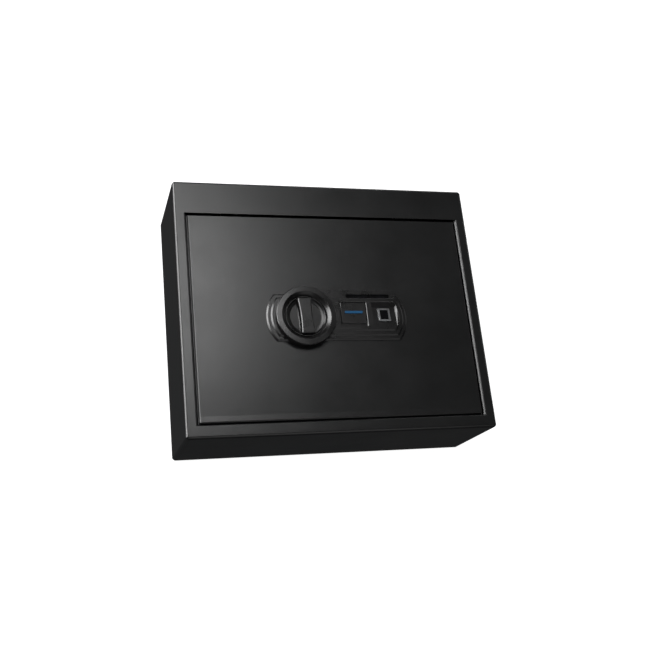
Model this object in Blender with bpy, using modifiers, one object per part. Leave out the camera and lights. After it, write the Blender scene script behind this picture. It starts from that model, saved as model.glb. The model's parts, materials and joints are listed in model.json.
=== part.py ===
"""Top-opening handgun safe for a drawer: folded steel case, hinged lid, knob lock.

The safe lies on its back with the lid up. X runs along the front edge, +Y points to the
hinges and +Z out of the lid. The origin is the centre of the underside. All sizes are metres.
"""

import math

import bmesh
import bpy
from mathutils import Matrix, Vector

# ---------------------------------------------------------------- driving dimensions

WIDTH = 0.330
DEPTH = 0.276
HEIGHT = 0.106
SHEET = 0.002
BEND = 0.0027
GAP = 0.0003

SIDE_MARGIN = 0.0125
FRONT_MARGIN = 0.0135
REAR_MARGIN = 0.0365
JAMB_DEPTH = 0.0055
LEDGE = 0.010

LID_GAP = 0.002
LID_RECESS = 0.0008
LID_THICK = 0.004
LOCK_HOLE_R = 0.0075
CABLE_HOLE_R = 0.004

HINGE_X = 0.100
HINGE_BEHIND_LID = 0.018
HINGE_DROP = 0.007
PIN_R = 0.0025
RUNNING = 0.00015
ARM_WIDTH = 0.020
ARM_THICK = 0.003
KNUCKLE_R = 0.0044
BRACKET_LOW = 0.091
EAR = 0.002

MAT_THICK = 0.005
MAT_MARGIN = 0.003
MAT_HOLE_R = 0.009
ANCHOR_X = 0.110
ANCHOR_Y = 0.080
ANCHOR_R = 0.004
STRIKE_HALF = 0.092
STRIKE_LOW = 0.083
STRIKE_THICK = 0.003

PANEL_CENTRE = (0.001, -0.01475)
PANEL_HALF = (0.077, 0.02575)
PANEL_BOW = 0.0095
PANEL_STEPS = ((0.0, 0.0020), (0.005, 0.0036), (0.0105, 0.0052))

KNOB = (-0.035, -0.015)
KNOB_R = 0.0218
KNOB_HOLE_R = 0.0226
KNOB_TILT = math.radians(2.5)
RING_R = 0.0317

KEY = (0.0173, -0.0115)
KEY_COVER = (0.0285, 0.0230)
SENSOR = (0.0515, -0.0138)
SCOOP = (0.0385, 0.0660, -0.0265, 0.0005)
SCOOP_DEEP = 0.0038
SENSOR_FRAME = (0.0130, 0.0150, 0.0011)
SENSOR_HOLE = (0.0084, 0.0102)
SENSOR_GLASS_THICK = 0.0008
LIGHT_SLOT = ((0.0110, 0.0058), (0.0600, 0.0099))
BROW_X = (0.0102, 0.0635)
BROW_LAP = 0.012
BROW_PROUD = 0.0038
BROW_RISE = 0.0038

BOLT_X = 0.074
BOLT_R = 0.005
BOLT_Z = 0.092
BOLT_THROW = 0.012
CRANK = BOLT_THROW / math.sqrt(2)
CRANK_PIN_R = 0.0022
SPINDLE_R = 0.004
CAM_Z = (0.0920, 0.0950)
CARRIAGE_Z = (0.086, 0.088)
BAR_Y = (-0.079, -0.059)
BAR_END = 0.009
STEM_REAR = 0.004
STEM_HALF = 0.017
TAB_Y = (-0.0812, -0.0788)
POST_Y = (-0.072, -0.040)
POST_R = 0.0025
PLUNGER_Y = -0.047
PLUNGER_Z = 0.087
PLUNGER_R = 0.0020
SOLENOID_X = (-0.006, 0.020)
GUIDE_Y = (-0.109, -0.099)
GUIDE_HALF = 0.009
GUIDE_LOW = 0.0845

HOUSING = ((-0.096, -0.097, 0.074), (0.096, 0.052, 0.1009))
HOUSING_WALL = 0.002
FLANGE_WIDE = 0.008
FLANGE_THICK = 0.0022
HATCH = ((-0.010, 0.014), (0.092, 0.046))
SCREW_X = 0.100
SCREW_Y = (-0.085, 0.040)
BUTTON = (0.070, -0.060)
CELL_R = 0.0071
CELL_LENGTH = 0.0485
CELL_Y = (0.0227, 0.0373)

# ---------------------------------------------------------------- derived levels

OPEN_X = WIDTH / 2 - SIDE_MARGIN
OPEN_FRONT = -DEPTH / 2 + FRONT_MARGIN
OPEN_REAR = DEPTH / 2 - REAR_MARGIN
LID_TOP = HEIGHT - LID_RECESS
LID_BOTTOM = LID_TOP - LID_THICK
UNDER_LID = LID_BOTTOM - GAP
LID_REAR = OPEN_REAR - LID_GAP
LEDGE_TOP = HEIGHT - JAMB_DEPTH
LEDGE_BOTTOM = LEDGE_TOP - SHEET
HINGE_Y = LID_REAR + HINGE_BEHIND_LID
HINGE_Z = HEIGHT - HINGE_DROP
PANEL_BASE = LID_TOP + GAP
PANEL_TOP = PANEL_BASE + PANEL_STEPS[-1][1]
RING_TOP = LID_TOP + 0.0100
SLOT_FLOOR = PANEL_BASE + 0.0010
LENS_TOP = SLOT_FLOOR + 0.0012
SCOOP_SLOPE = math.atan(SCOOP_DEEP / (SCOOP[3] - SCOOP[2]))
KEY_RECESS = ((KEY[0] - 0.0147, KEY[1] - 0.0150), (KEY[0] + 0.0147, KEY[1] + 0.0119))
KEY_FLOOR = PANEL_TOP - 0.0020
KNOB_LOW = LID_TOP + 0.0008
KNOB_FLOOR = PANEL_BASE + 0.0020
KNOB_RIM = PANEL_TOP + 0.0006
GRIP_TOP = PANEL_TOP + 0.0040
BOLT_TIP = OPEN_FRONT + LEDGE + 0.002
ANCHORS = [(x, y) for x in (-ANCHOR_X, ANCHOR_X) for y in (-ANCHOR_Y, ANCHOR_Y)]
SCREWS = [(x, y) for x in (-SCREW_X, SCREW_X) for y in SCREW_Y]


# ---------------------------------------------------------------- scene and materials

def clear_scene():
    for obj in list(bpy.data.objects):
        bpy.data.objects.remove(obj, do_unlink=True)


def new_collection(name):
    collection = bpy.data.collections.new(name)
    bpy.context.scene.collection.children.link(collection)
    return collection


def new_material(name, colour, roughness, metallic=0.0):
    material = bpy.data.materials.new(name)
    material.use_nodes = True
    shader = material.node_tree.nodes["Principled BSDF"]
    shader.inputs["Base Color"].default_value = (*colour, 1.0)
    shader.inputs["Roughness"].default_value = roughness
    shader.inputs["Metallic"].default_value = metallic
    return material


clear_scene()
PARTS = new_collection("gun_safe")
CUTTERS = new_collection("cutters")

POWDER = new_material("black_powder_coat", (0.018, 0.019, 0.020), 0.48)
BLACK_PLASTIC = new_material("black_plastic", (0.016, 0.016, 0.017), 0.34)
GREY_PLASTIC = new_material("grey_plastic", (0.055, 0.056, 0.058), 0.5)
SMOKED_LENS = new_material("smoked_lens", (0.004, 0.004, 0.005), 0.12)
SENSOR_GLASS = new_material("sensor_glass", (0.006, 0.006, 0.008), 0.08)
SATIN_METAL = new_material("satin_metal", (0.56, 0.57, 0.58), 0.32, 1.0)
ZINC = new_material("zinc_plated_steel", (0.50, 0.50, 0.48), 0.38, 1.0)
BRASS = new_material("brass", (0.62, 0.47, 0.20), 0.3, 1.0)
COPPER = new_material("coil_copper", (0.55, 0.24, 0.12), 0.4, 1.0)
FOAM = new_material("black_foam", (0.012, 0.012, 0.013), 0.95)
RUBBER = new_material("black_rubber", (0.012, 0.012, 0.012), 0.8)
BOARD = new_material("green_board", (0.01, 0.09, 0.035), 0.5)
CELL = new_material("cell_sleeve", (0.03, 0.03, 0.035), 0.35)
BLUE = new_material("blue_mark", (0.03, 0.28, 0.62), 0.35)
WIRE = new_material("wire_sleeve", (0.30, 0.02, 0.02), 0.5)


# ---------------------------------------------------------------- bodies on their joints

def joint_empty(name, position, parent=None):
    empty = bpy.data.objects.new(name, None)
    PARTS.objects.link(empty)
    empty.empty_display_size = 0.01
    empty.location = Vector(position)
    if parent:
        empty.parent = parent
        empty.location = Vector(position) - Vector(parent["at"])
    empty["at"] = position
    return empty


LID_BODY = joint_empty("lid_axis", (0.0, HINGE_Y, HINGE_Z))
KNOB_BODY = joint_empty("knob_axis", (*KNOB, PANEL_TOP), LID_BODY)
BOLT_BODY = joint_empty("bolt_axis", (0.0, TAB_Y[1], BOLT_Z), LID_BODY)
PLUNGER_BODY = joint_empty("plunger_axis", (SOLENOID_X[0], PLUNGER_Y, PLUNGER_Z), LID_BODY)
COVER_BODY = joint_empty("key_cover_axis", (*KEY, PANEL_TOP), LID_BODY)
PLUG_BODY = joint_empty("key_plug_axis", (*KEY, PANEL_TOP), LID_BODY)
BUTTON_BODY = joint_empty("enrol_button_axis", (*BUTTON, HOUSING[0][2]), LID_BODY)
HATCH_BODY = joint_empty("battery_cover_axis", (*HATCH[0], HOUSING[0][2]), LID_BODY)


# ---------------------------------------------------------------- modelling helpers

def finish(obj, material, body):
    """Give a part its material, its smooth shading and the body that it moves with."""
    obj.data.materials.append(material)
    if obj.type == "MESH":
        obj.data.shade_smooth()
        obj.data.set_sharp_from_angle(angle=math.radians(35))
    PARTS.objects.link(obj)
    if body:
        obj.parent = body
        obj.location = obj.location - Vector(body["at"])
    return obj


def as_cutter(obj):
    CUTTERS.objects.link(obj)
    obj.hide_render = True
    obj.display_type = "WIRE"
    return obj


def mesh_object(name, bm, centre):
    mesh = bpy.data.meshes.new(name)
    bm.to_mesh(mesh)
    bm.free()
    obj = bpy.data.objects.new(name, mesh)
    obj.location = centre
    return obj


def box(name, low, high, bevel=0.0, segments=1):
    """A box between two corners, with its edges rounded by bevel."""
    low, high = Vector(low), Vector(high)
    bm = bmesh.new()
    bmesh.ops.create_cube(bm, size=1.0)
    bmesh.ops.scale(bm, vec=high - low, verts=bm.verts)
    if bevel:
        bmesh.ops.bevel(bm, geom=bm.edges, offset=bevel, segments=segments, profile=0.5,
                        affect="EDGES")
    return mesh_object(name, bm, (low + high) / 2)


def cylinder(name, radius, centre, length, axis="Z", segments=24):
    """A cylinder about its centre, along X, Y or Z."""
    bm = bmesh.new()
    bmesh.ops.create_cone(bm, cap_ends=True, segments=segments, radius1=radius,
                          radius2=radius, depth=length)
    turn = {"X": Matrix.Rotation(math.pi / 2, 3, "Y"),
            "Y": Matrix.Rotation(math.pi / 2, 3, "X"),
            "Z": Matrix.Identity(3)}[axis]
    bmesh.ops.rotate(bm, matrix=turn, verts=bm.verts)
    return mesh_object(name, bm, centre)


def upright(name, radius, spot, z_low, z_high, segments=20):
    """A cylinder along Z between two levels."""
    centre = (spot[0], spot[1], (z_low + z_high) / 2)
    return cylinder(name, radius, centre, z_high - z_low, "Z", segments)


def turned(name, profile, spot, steps=32, closed=False):
    """A profile of (radius, level) points turned about a vertical axis at spot."""
    bm = bmesh.new()
    verts = [bm.verts.new((radius, 0.0, level)) for radius, level in profile]
    pairs = list(zip(verts, verts[1:]))
    if closed:
        pairs.append((verts[-1], verts[0]))
    for pair in pairs:
        bm.edges.new(pair)
    obj = mesh_object(name, bm, (spot[0], spot[1], 0.0))
    screw = obj.modifiers.new("turn", "SCREW")
    screw.steps = steps
    screw.render_steps = steps
    screw.use_merge_vertices = True
    screw.merge_threshold = 0.00001
    screw.use_smooth_shade = True
    return obj


def to_mesh(obj, name):
    """The evaluated object as a plain mesh object, with its caps welded on."""
    bpy.context.scene.collection.objects.link(obj)
    bpy.context.view_layer.update()
    evaluated = obj.evaluated_get(bpy.context.evaluated_depsgraph_get())
    mesh = bpy.data.meshes.new_from_object(evaluated)
    bm = bmesh.new()
    bm.from_mesh(mesh)
    bmesh.ops.remove_doubles(bm, verts=bm.verts, dist=0.00001)
    bmesh.ops.recalc_face_normals(bm, faces=bm.faces)
    bm.to_mesh(mesh)
    bm.free()
    mesh.materials.clear()
    solid = bpy.data.objects.new(name, mesh)
    solid.matrix_world = obj.matrix_world.copy()
    bpy.data.objects.remove(obj, do_unlink=True)
    return solid


def prism(name, outline, low, high, edge=0.0, segments=1):
    """A flat outline in XY, raised from low to high, with its edges rounded by edge."""
    curve = bpy.data.curves.new(name, "CURVE")
    curve.dimensions = "2D"
    curve.fill_mode = "BOTH"
    curve.extrude = (high - low) / 2 - edge
    curve.bevel_depth = edge
    curve.bevel_resolution = segments
    curve.offset = -edge
    spline = curve.splines.new("POLY")
    spline.points.add(len(outline) - 1)
    for point, (x, y) in zip(spline.points, outline):
        point.co = (x, y, 0.0, 1.0)
    spline.use_cyclic_u = True
    obj = bpy.data.objects.new(name + "_curve", curve)
    obj.location = (0.0, 0.0, (low + high) / 2)
    return to_mesh(obj, name)


def wire(name, points, radius, samples=2):
    """A round wire through the points, on a smooth curve."""
    route = smooth_route([Vector(point) for point in points], samples)
    curve = bpy.data.curves.new(name, "CURVE")
    curve.dimensions = "3D"
    curve.bevel_depth = radius
    curve.bevel_resolution = 2
    curve.use_fill_caps = True
    spline = curve.splines.new("POLY")
    spline.points.add(len(route) - 1)
    for point, place in zip(spline.points, route):
        point.co = (*place, 1.0)
    return bpy.data.objects.new(name, curve)


def smooth_route(points, samples):
    """Catmull-Rom points through a short list of route points."""
    ends = [2 * points[0] - points[1]] + points + [2 * points[-1] - points[-2]]
    route = []
    for a, b, c, d in zip(ends, ends[1:], ends[2:], ends[3:]):
        for step in range(samples):
            t = step / samples
            route.append(0.5 * (2 * b + (c - a) * t + (2 * a - 5 * b + 4 * c - d) * t ** 2
                                + (3 * b - a - 3 * c + d) * t ** 3))
    return route + [points[-1]]


def combine(obj, other, operation="DIFFERENCE"):
    """Cut the other shape out of a part, or join it on."""
    modifier = obj.modifiers.new(operation.lower(), "BOOLEAN")
    modifier.operation = operation
    modifier.solver = "EXACT"
    modifier.object = as_cutter(other)
    return obj


def cut_box(obj, low, high):
    return combine(obj, box(obj.name + "_cut", low, high))


def cut_round(obj, radius, spot, z_low, z_high, segments=20):
    return combine(obj, upright(obj.name + "_cut", radius, spot, z_low, z_high, segments))


def join(obj, other):
    return combine(obj, other, "UNION")


def rounded(outline, radius, steps=4, sharp=math.radians(30)):
    """The outline with each corner that turns by more than sharp replaced by an arc."""
    result = []
    count = len(outline)
    for index in range(count):
        corner = Vector(outline[index])
        before = (Vector(outline[index - 1]) - corner).normalized()
        after = (Vector(outline[(index + 1) % count]) - corner).normalized()
        turn = math.pi - before.angle(after)
        if turn < sharp:
            result.append(tuple(corner))
            continue
        reach = radius * math.tan(turn / 2)
        centre = corner + (before + after).normalized() * radius / math.cos(turn / 2)
        start = corner + before * reach - centre
        side = 1.0 if before.cross(after) < 0 else -1.0
        for step in range(steps + 1):
            result.append(tuple(centre + Matrix.Rotation(side * turn * step / steps, 2) @ start))
    return result


def rectangle(low, high):
    return [low, (high[0], low[1]), high, (low[0], high[1])]


# ---------------------------------------------------------------- case

def outer_shell():
    """Walls, frame, rolled reveal and lid ledge, folded from one sheet."""
    bm = bmesh.new()
    bmesh.ops.create_cube(bm, size=1.0)
    bmesh.ops.scale(bm, vec=(WIDTH, DEPTH, HEIGHT), verts=bm.verts)
    bmesh.ops.translate(bm, vec=(0.0, 0.0, HEIGHT / 2), verts=bm.verts)
    bmesh.ops.delete(bm, geom=[f for f in bm.faces if f.normal.z < -0.5], context="FACES_ONLY")
    outer_edges = [e for e in bm.edges if any(v.co.z > HEIGHT / 2 for v in e.verts)]
    top = next(f for f in bm.faces if f.normal.z > 0.5)
    bmesh.ops.inset_individual(bm, faces=[top], thickness=0.02)
    for vert in top.verts:
        vert.co.x = math.copysign(OPEN_X, vert.co.x)
        vert.co.y = OPEN_FRONT if vert.co.y < 0 else OPEN_REAR
    roll = [e for e in top.edges if min(v.co.y for v in e.verts) < OPEN_REAR - 0.001]
    bmesh.ops.delete(bm, geom=[top], context="FACES_ONLY")
    jamb = bmesh.ops.extrude_edge_only(bm, edges=roll)["geom"]
    jamb_edges = [g for g in jamb if isinstance(g, bmesh.types.BMEdge)]
    fold = [e for e in jamb_edges if all(v in jamb for v in e.verts)]
    for vert in [g for g in jamb if isinstance(g, bmesh.types.BMVert)]:
        vert.co.z = LEDGE_TOP
    ledge = bmesh.ops.extrude_edge_only(bm, edges=fold)["geom"]
    for vert in [g for g in ledge if isinstance(g, bmesh.types.BMVert)]:
        vert.co.x -= math.copysign(LEDGE, vert.co.x)
        if vert.co.y < 0:
            vert.co.y += LEDGE
    bmesh.ops.recalc_face_normals(bm, faces=bm.faces)
    bmesh.ops.bevel(bm, geom=outer_edges + roll + fold, offset=BEND, segments=3, profile=0.5,
                    affect="EDGES", clamp_overlap=True)
    obj = mesh_object("outer_shell", bm, (0.0, 0.0, 0.0))
    solidify = obj.modifiers.new("sheet", "SOLIDIFY")
    solidify.thickness = SHEET
    solidify.offset = -1.0
    solidify.use_even_offset = True
    solidify.use_quality_normals = True
    finish(obj, POWDER, None)


def base_plate():
    edge_x = WIDTH / 2 - SHEET - GAP
    edge_y = DEPTH / 2 - SHEET - GAP
    obj = box("base_plate", (-edge_x, -edge_y, 0.0), (edge_x, edge_y, SHEET))
    for spot in ANCHORS:
        cut_round(obj, ANCHOR_R, spot, -0.001, SHEET + 0.001)
    finish(obj, POWDER, None)


def anchor_plugs():
    """Rubber plugs that close the anchor holes until the safe is bolted down."""
    head_r, stem_r, head = 0.0065, ANCHOR_R - GAP, 0.0015
    for number, spot in enumerate(ANCHORS, 1):
        top = SHEET + GAP + head
        profile = [(0.0, top), (head_r - 0.0006, top), (head_r, top - 0.0006),
                   (head_r, SHEET + GAP), (stem_r, SHEET + GAP), (stem_r, GAP), (0.0, GAP)]
        finish(turned(f"anchor_plug_{number}", profile, spot, 16), RUBBER, None)


def floor_mat():
    """Foam mat on the base, with a round hole over each anchor."""
    edge_x = WIDTH / 2 - SHEET - MAT_MARGIN
    edge_y = DEPTH / 2 - SHEET - MAT_MARGIN
    outline = rounded(rectangle((-edge_x, -edge_y), (edge_x, edge_y)), 0.004)
    obj = prism("floor_mat", outline, SHEET + GAP, SHEET + GAP + MAT_THICK)
    for spot in ANCHORS:
        cut_round(obj, MAT_HOLE_R, spot, SHEET - 0.001, SHEET + 2 * MAT_THICK)
    finish(obj, FOAM, None)


def strike_bar():
    """Flat bar under the front ledge, with a hole that each bolt goes into."""
    y = OPEN_FRONT + 0.0015
    obj = box("strike_bar", (-STRIKE_HALF, y, STRIKE_LOW),
              (STRIKE_HALF, y + STRIKE_THICK, LEDGE_BOTTOM - GAP), 0.0004)
    for x in (-BOLT_X, BOLT_X):
        hole = cylinder("strike_bar_cut", BOLT_R + 0.001, (x, y, BOLT_Z), 0.02, "Y")
        combine(obj, hole)
    finish(obj, ZINC, None)


def hinge_bracket(side, x):
    """A bent bracket on the rear wall, whose two ears hold the hinge pin."""
    back = DEPTH / 2 - SHEET - GAP
    under = HEIGHT - SHEET - GAP
    half = ARM_WIDTH / 2 + 0.0005 + EAR
    obj = box(f"hinge_bracket_{side}", (x - half, HINGE_Y - 0.0055, BRACKET_LOW),
              (x + half, back, under))
    cut_box(obj, (x - half + EAR, HINGE_Y - 0.02, BRACKET_LOW - 0.01),
            (x + half - EAR, back - EAR, HEIGHT))
    hole = cylinder(obj.name + "_cut", PIN_R + RUNNING, (x, HINGE_Y, HINGE_Z), 0.05, "X", 20)
    combine(obj, hole)
    finish(obj, POWDER, None)


def hinge_pin(side, x):
    reach = ARM_WIDTH / 2 + 0.004
    obj = cylinder(f"hinge_pin_{side}", PIN_R, (x, HINGE_Y, HINGE_Z), 2 * reach, "X", 20)
    head = cylinder(obj.name + "_head", 0.0042, (x - reach, HINGE_Y, HINGE_Z), 0.0016, "X", 20)
    join(obj, head)
    finish(obj, SATIN_METAL, None)


def hinge_arm(side, x):
    """Goose-neck arm: down from the pin, forward under the frame's rear edge, up to the lid."""
    low = HINGE_Z - 0.024
    front = HINGE_Y - 0.0255
    foot_front = front - 0.036
    foot_top = UNDER_LID
    half = ARM_WIDTH / 2
    t = ARM_THICK
    # The outline lies in the YZ plane, as (y, z).
    outline = [(HINGE_Y + t / 2, HINGE_Z), (HINGE_Y + t / 2, low), (front, low),
               (front, foot_top - t), (foot_front, foot_top - t), (foot_front, foot_top),
               (front + t, foot_top), (front + t, low + t), (HINGE_Y - t / 2, low + t),
               (HINGE_Y - t / 2, HINGE_Z)]
    obj = prism(f"hinge_arm_{side}", rounded(outline, 0.0012, 2), -half, half)
    obj.rotation_euler = (math.pi / 2, 0.0, math.pi / 2)
    obj.location = (x, 0.0, 0.0)
    at_pin = (x, HINGE_Y, HINGE_Z)
    join(obj, cylinder(obj.name + "_knuckle", KNUCKLE_R, at_pin, ARM_WIDTH - 0.0002, "X", 24))
    combine(obj, cylinder(obj.name + "_bore", PIN_R + RUNNING, at_pin, 0.04, "X", 20))
    for reach in (0.010, 0.026):
        screw = (x, front - reach)
        cut_round(obj, 0.0022, screw, foot_top - 0.01, foot_top + 0.01, 16)
    finish(obj, POWDER, LID_BODY)


# ---------------------------------------------------------------- lid and lock panel

def lid_plate():
    low = (-OPEN_X + LID_GAP, OPEN_FRONT + LID_GAP, LID_BOTTOM)
    high = (OPEN_X - LID_GAP, LID_REAR, LID_TOP)
    obj = box("lid_plate", low, high, 0.0009, 2)
    for radius, spot in ((LOCK_HOLE_R, KNOB), (LOCK_HOLE_R, KEY), (CABLE_HOLE_R, SENSOR)):
        cut_round(obj, radius, spot, LID_BOTTOM - 0.002, LID_TOP + 0.002)
    finish(obj, POWDER, LID_BODY)


def panel_outline(inset):
    """The lock panel's outline: straight long edges, ends bowed outward."""
    half_y = PANEL_HALF[1] - inset
    bow_r = (PANEL_HALF[1] ** 2 + PANEL_BOW ** 2) / (2 * PANEL_BOW)
    centre_x = PANEL_HALF[0] - bow_r
    sweep = math.asin(half_y / (bow_r - inset))
    arc = 10
    outline = []
    for side in (1, -1):
        for step in range(arc + 1):
            angle = sweep * (2 * step / arc - 1)
            x = centre_x + (bow_r - inset) * math.cos(angle)
            y = (bow_r - inset) * math.sin(angle)
            outline.append((PANEL_CENTRE[0] + side * x, PANEL_CENTRE[1] + side * y))
    return rounded(outline, 0.0025, 3)


def lock_panel():
    """Stepped panel with the knob hole, key recess, finger scoop and status light slot."""
    inset, height = PANEL_STEPS[0]
    obj = prism("lock_panel", panel_outline(inset), PANEL_BASE, PANEL_BASE + height, 0.0004)
    for (inset, height), (_, below) in zip(PANEL_STEPS[1:], PANEL_STEPS):
        step = prism("lock_panel_step", panel_outline(inset), PANEL_BASE + below - 0.0009,
                     PANEL_BASE + height, 0.0004)
        join(obj, step)
    rear = PANEL_CENTRE[1] + PANEL_HALF[1]
    brow = rounded(rectangle((BROW_X[0], rear - BROW_LAP), (BROW_X[1], rear + BROW_PROUD)), 0.0025, 3)
    join(obj, prism("lock_panel_brow", brow, PANEL_BASE + 0.0001, PANEL_BASE + BROW_RISE, 0.0005))
    slot = rounded(rectangle(*LIGHT_SLOT), 0.0015, 3)
    combine(obj, prism("lock_panel_slot", slot, SLOT_FLOOR, PANEL_TOP + 0.003))
    cut_round(obj, KNOB_HOLE_R, KNOB, PANEL_BASE - 0.002, PANEL_TOP + 0.002, 48)
    recess = rounded(rectangle(*KEY_RECESS), 0.0010, 2)
    combine(obj, prism("lock_panel_recess", recess, KEY_FLOOR, PANEL_TOP + 0.003))
    cut_round(obj, LOCK_HOLE_R, KEY, PANEL_BASE - 0.002, KEY_FLOOR + 0.001)
    combine(obj, finger_scoop())
    cut_round(obj, 0.0035, SENSOR, PANEL_BASE - 0.002, PANEL_TOP)
    finish(obj, BLACK_PLASTIC, LID_BODY)


def finger_scoop():
    """Cutter whose floor slopes from the panel's face down to the scoop's rear wall."""
    left, right, front, rear = SCOOP
    length = math.hypot(rear - front, SCOOP_DEEP)
    bm = bmesh.new()
    bmesh.ops.create_cube(bm, size=1.0)
    bmesh.ops.scale(bm, vec=(right - left, length + 0.001, 0.010), verts=bm.verts)
    bmesh.ops.translate(bm, vec=(0.0, (length - 0.001) / 2, 0.005), verts=bm.verts)
    for vert in bm.verts:
        if vert.co.y > length / 2:
            vert.co.y = length + vert.co.z * math.tan(SCOOP_SLOPE)
    obj = mesh_object("lock_panel_scoop", bm, ((left + right) / 2, front, PANEL_TOP))
    obj.rotation_euler = (-SCOOP_SLOPE, 0.0, 0.0)
    return obj


def on_scoop(lift):
    """The point on the sensor's own axis, lift above the sloping floor."""
    run = SENSOR[1] - SCOOP[2]
    floor = PANEL_TOP - run * math.tan(SCOOP_SLOPE)
    return (SENSOR[0], SENSOR[1] + lift * math.sin(SCOOP_SLOPE),
            floor + lift * math.cos(SCOOP_SLOPE))


def fingerprint_sensor():
    """Metal bezel and glass window, lying on the scoop's sloping floor."""
    half = Vector(SENSOR_FRAME) / 2
    hole = SENSOR_HOLE
    bezel = box("sensor_bezel", -half, half, 0.0004)
    bezel.location = on_scoop(GAP + half.z)
    bezel.rotation_euler = (-SCOOP_SLOPE, 0.0, 0.0)
    opening = box("sensor_bezel_cut", (-hole[0] / 2, -hole[1] / 2, -0.002),
                  (hole[0] / 2, hole[1] / 2, 0.002))
    opening.location = bezel.location
    opening.rotation_euler = bezel.rotation_euler
    combine(bezel, opening)
    finish(bezel, SATIN_METAL, LID_BODY)
    glass = SENSOR_GLASS_THICK
    window = box("sensor_window", (-hole[0] / 2 + GAP / 2, -hole[1] / 2 + GAP / 2, -glass / 2),
                 (hole[0] / 2 - GAP / 2, hole[1] / 2 - GAP / 2, glass / 2))
    window.location = on_scoop(GAP + glass / 2)
    window.rotation_euler = bezel.rotation_euler
    finish(window, SENSOR_GLASS, LID_BODY)


def status_light_lens():
    (left, front), (right, rear) = LIGHT_SLOT
    outline = rounded(rectangle((left + GAP, front + GAP), (right - GAP, rear - GAP)), 0.0013, 3)
    obj = prism("status_light_lens", outline, SLOT_FLOOR + GAP, LENS_TOP, 0.0002)
    finish(obj, SMOKED_LENS, LID_BODY)


def ring_bezel():
    """Raised ring round the knob, stepped underneath to sit over the panel."""
    profile = [(0.0268, RING_TOP), (0.0285, RING_TOP), (0.0296, RING_TOP - 0.0006),
               (RING_R - 0.0003, PANEL_TOP - 0.0010), (RING_R, PANEL_TOP - 0.0020),
               (RING_R, PANEL_BASE), (0.0292, PANEL_BASE),
               (0.0292, PANEL_TOP + GAP), (KNOB_HOLE_R, PANEL_TOP + GAP),
               (KNOB_HOLE_R, PANEL_TOP + 0.0012), (0.0260, RING_TOP - 0.0004)]
    obj = turned("ring_bezel", profile, KNOB, 48, closed=True)
    for inset, height in PANEL_STEPS:
        room = panel_outline(inset - GAP)
        combine(obj, prism("ring_bezel_cut", room, PANEL_BASE - 0.001, PANEL_BASE + height + GAP))
    finish(obj, BLACK_PLASTIC, LID_BODY)


def knob():
    """Dished disc with a waisted grip bar right across it."""
    profile = [(0.0, KNOB_FLOOR), (0.0165, KNOB_FLOOR), (0.0180, KNOB_FLOOR + 0.0006),
               (0.0205, KNOB_RIM), (KNOB_R - 0.0004, KNOB_RIM), (KNOB_R, KNOB_RIM - 0.0004),
               (KNOB_R, KNOB_LOW), (0.0, KNOB_LOW)]
    obj = turned("knob", profile, KNOB, 48)
    half_length, waist, flare = 0.0203, 0.0056, 0.0013
    rows = 8
    right = []
    for row in range(rows + 1):
        t = 2 * row / rows - 1
        right.append((waist + flare * t * t, half_length * t))
    outline = right + [(-x, -y) for x, y in right]
    grip = prism("knob_grip", rounded(outline, 0.0015, 3), KNOB_FLOOR - 0.0008, GRIP_TOP, 0.0007, 2)
    for vert in grip.data.vertices:
        lean = (vert.co.z / (GRIP_TOP - KNOB_FLOOR) + 0.5)
        vert.co.x *= 1.12 - 0.14 * lean
    grip.location.x += KNOB[0]
    grip.location.y += KNOB[1]
    grip.rotation_euler = (0.0, 0.0, KNOB_TILT)
    join(obj, grip)
    cut_round(obj, SPINDLE_R + RUNNING, KNOB, KNOB_LOW - 0.002, GRIP_TOP - 0.0025, 20)
    finish(obj, BLACK_PLASTIC, KNOB_BODY)


def knob_drive():
    """Spindle through the lid, its bush, and the cam whose crank pin drives the carriage."""
    spindle = upright("spindle", SPINDLE_R, KNOB, CAM_Z[0], GRIP_TOP - 0.0028, 20)
    finish(spindle, ZINC, KNOB_BODY)
    sleeve_r, flange_r = LOCK_HOLE_R - GAP, 0.0095
    flange = UNDER_LID - 0.0024
    profile = [(SPINDLE_R + RUNNING, LID_TOP - 0.0002), (sleeve_r, LID_TOP - 0.0002),
               (sleeve_r, UNDER_LID), (flange_r, UNDER_LID), (flange_r, flange),
               (SPINDLE_R + RUNNING, flange)]
    finish(turned("spindle_bush", profile, KNOB, 24, closed=True), BRASS, LID_BODY)
    pin = (KNOB[0] + CRANK * math.cos(math.pi / 4), KNOB[1] + CRANK * math.sin(math.pi / 4))
    cam = upright("drive_cam", 0.0075, KNOB, *CAM_Z, 24)
    join(cam, upright("drive_cam_lobe", 0.0042, pin, CAM_Z[0] + 0.0002, CAM_Z[1] - 0.0002, 20))
    join(cam, upright("drive_cam_pin", CRANK_PIN_R, pin, CARRIAGE_Z[0] - 0.0012, CAM_Z[1] - 0.001, 16))
    cut_round(cam, SPINDLE_R + RUNNING, KNOB, CAM_Z[0] - 0.001, CAM_Z[1] + 0.001, 20)
    finish(cam, ZINC, KNOB_BODY)


# ---------------------------------------------------------------- backup key lock

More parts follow.
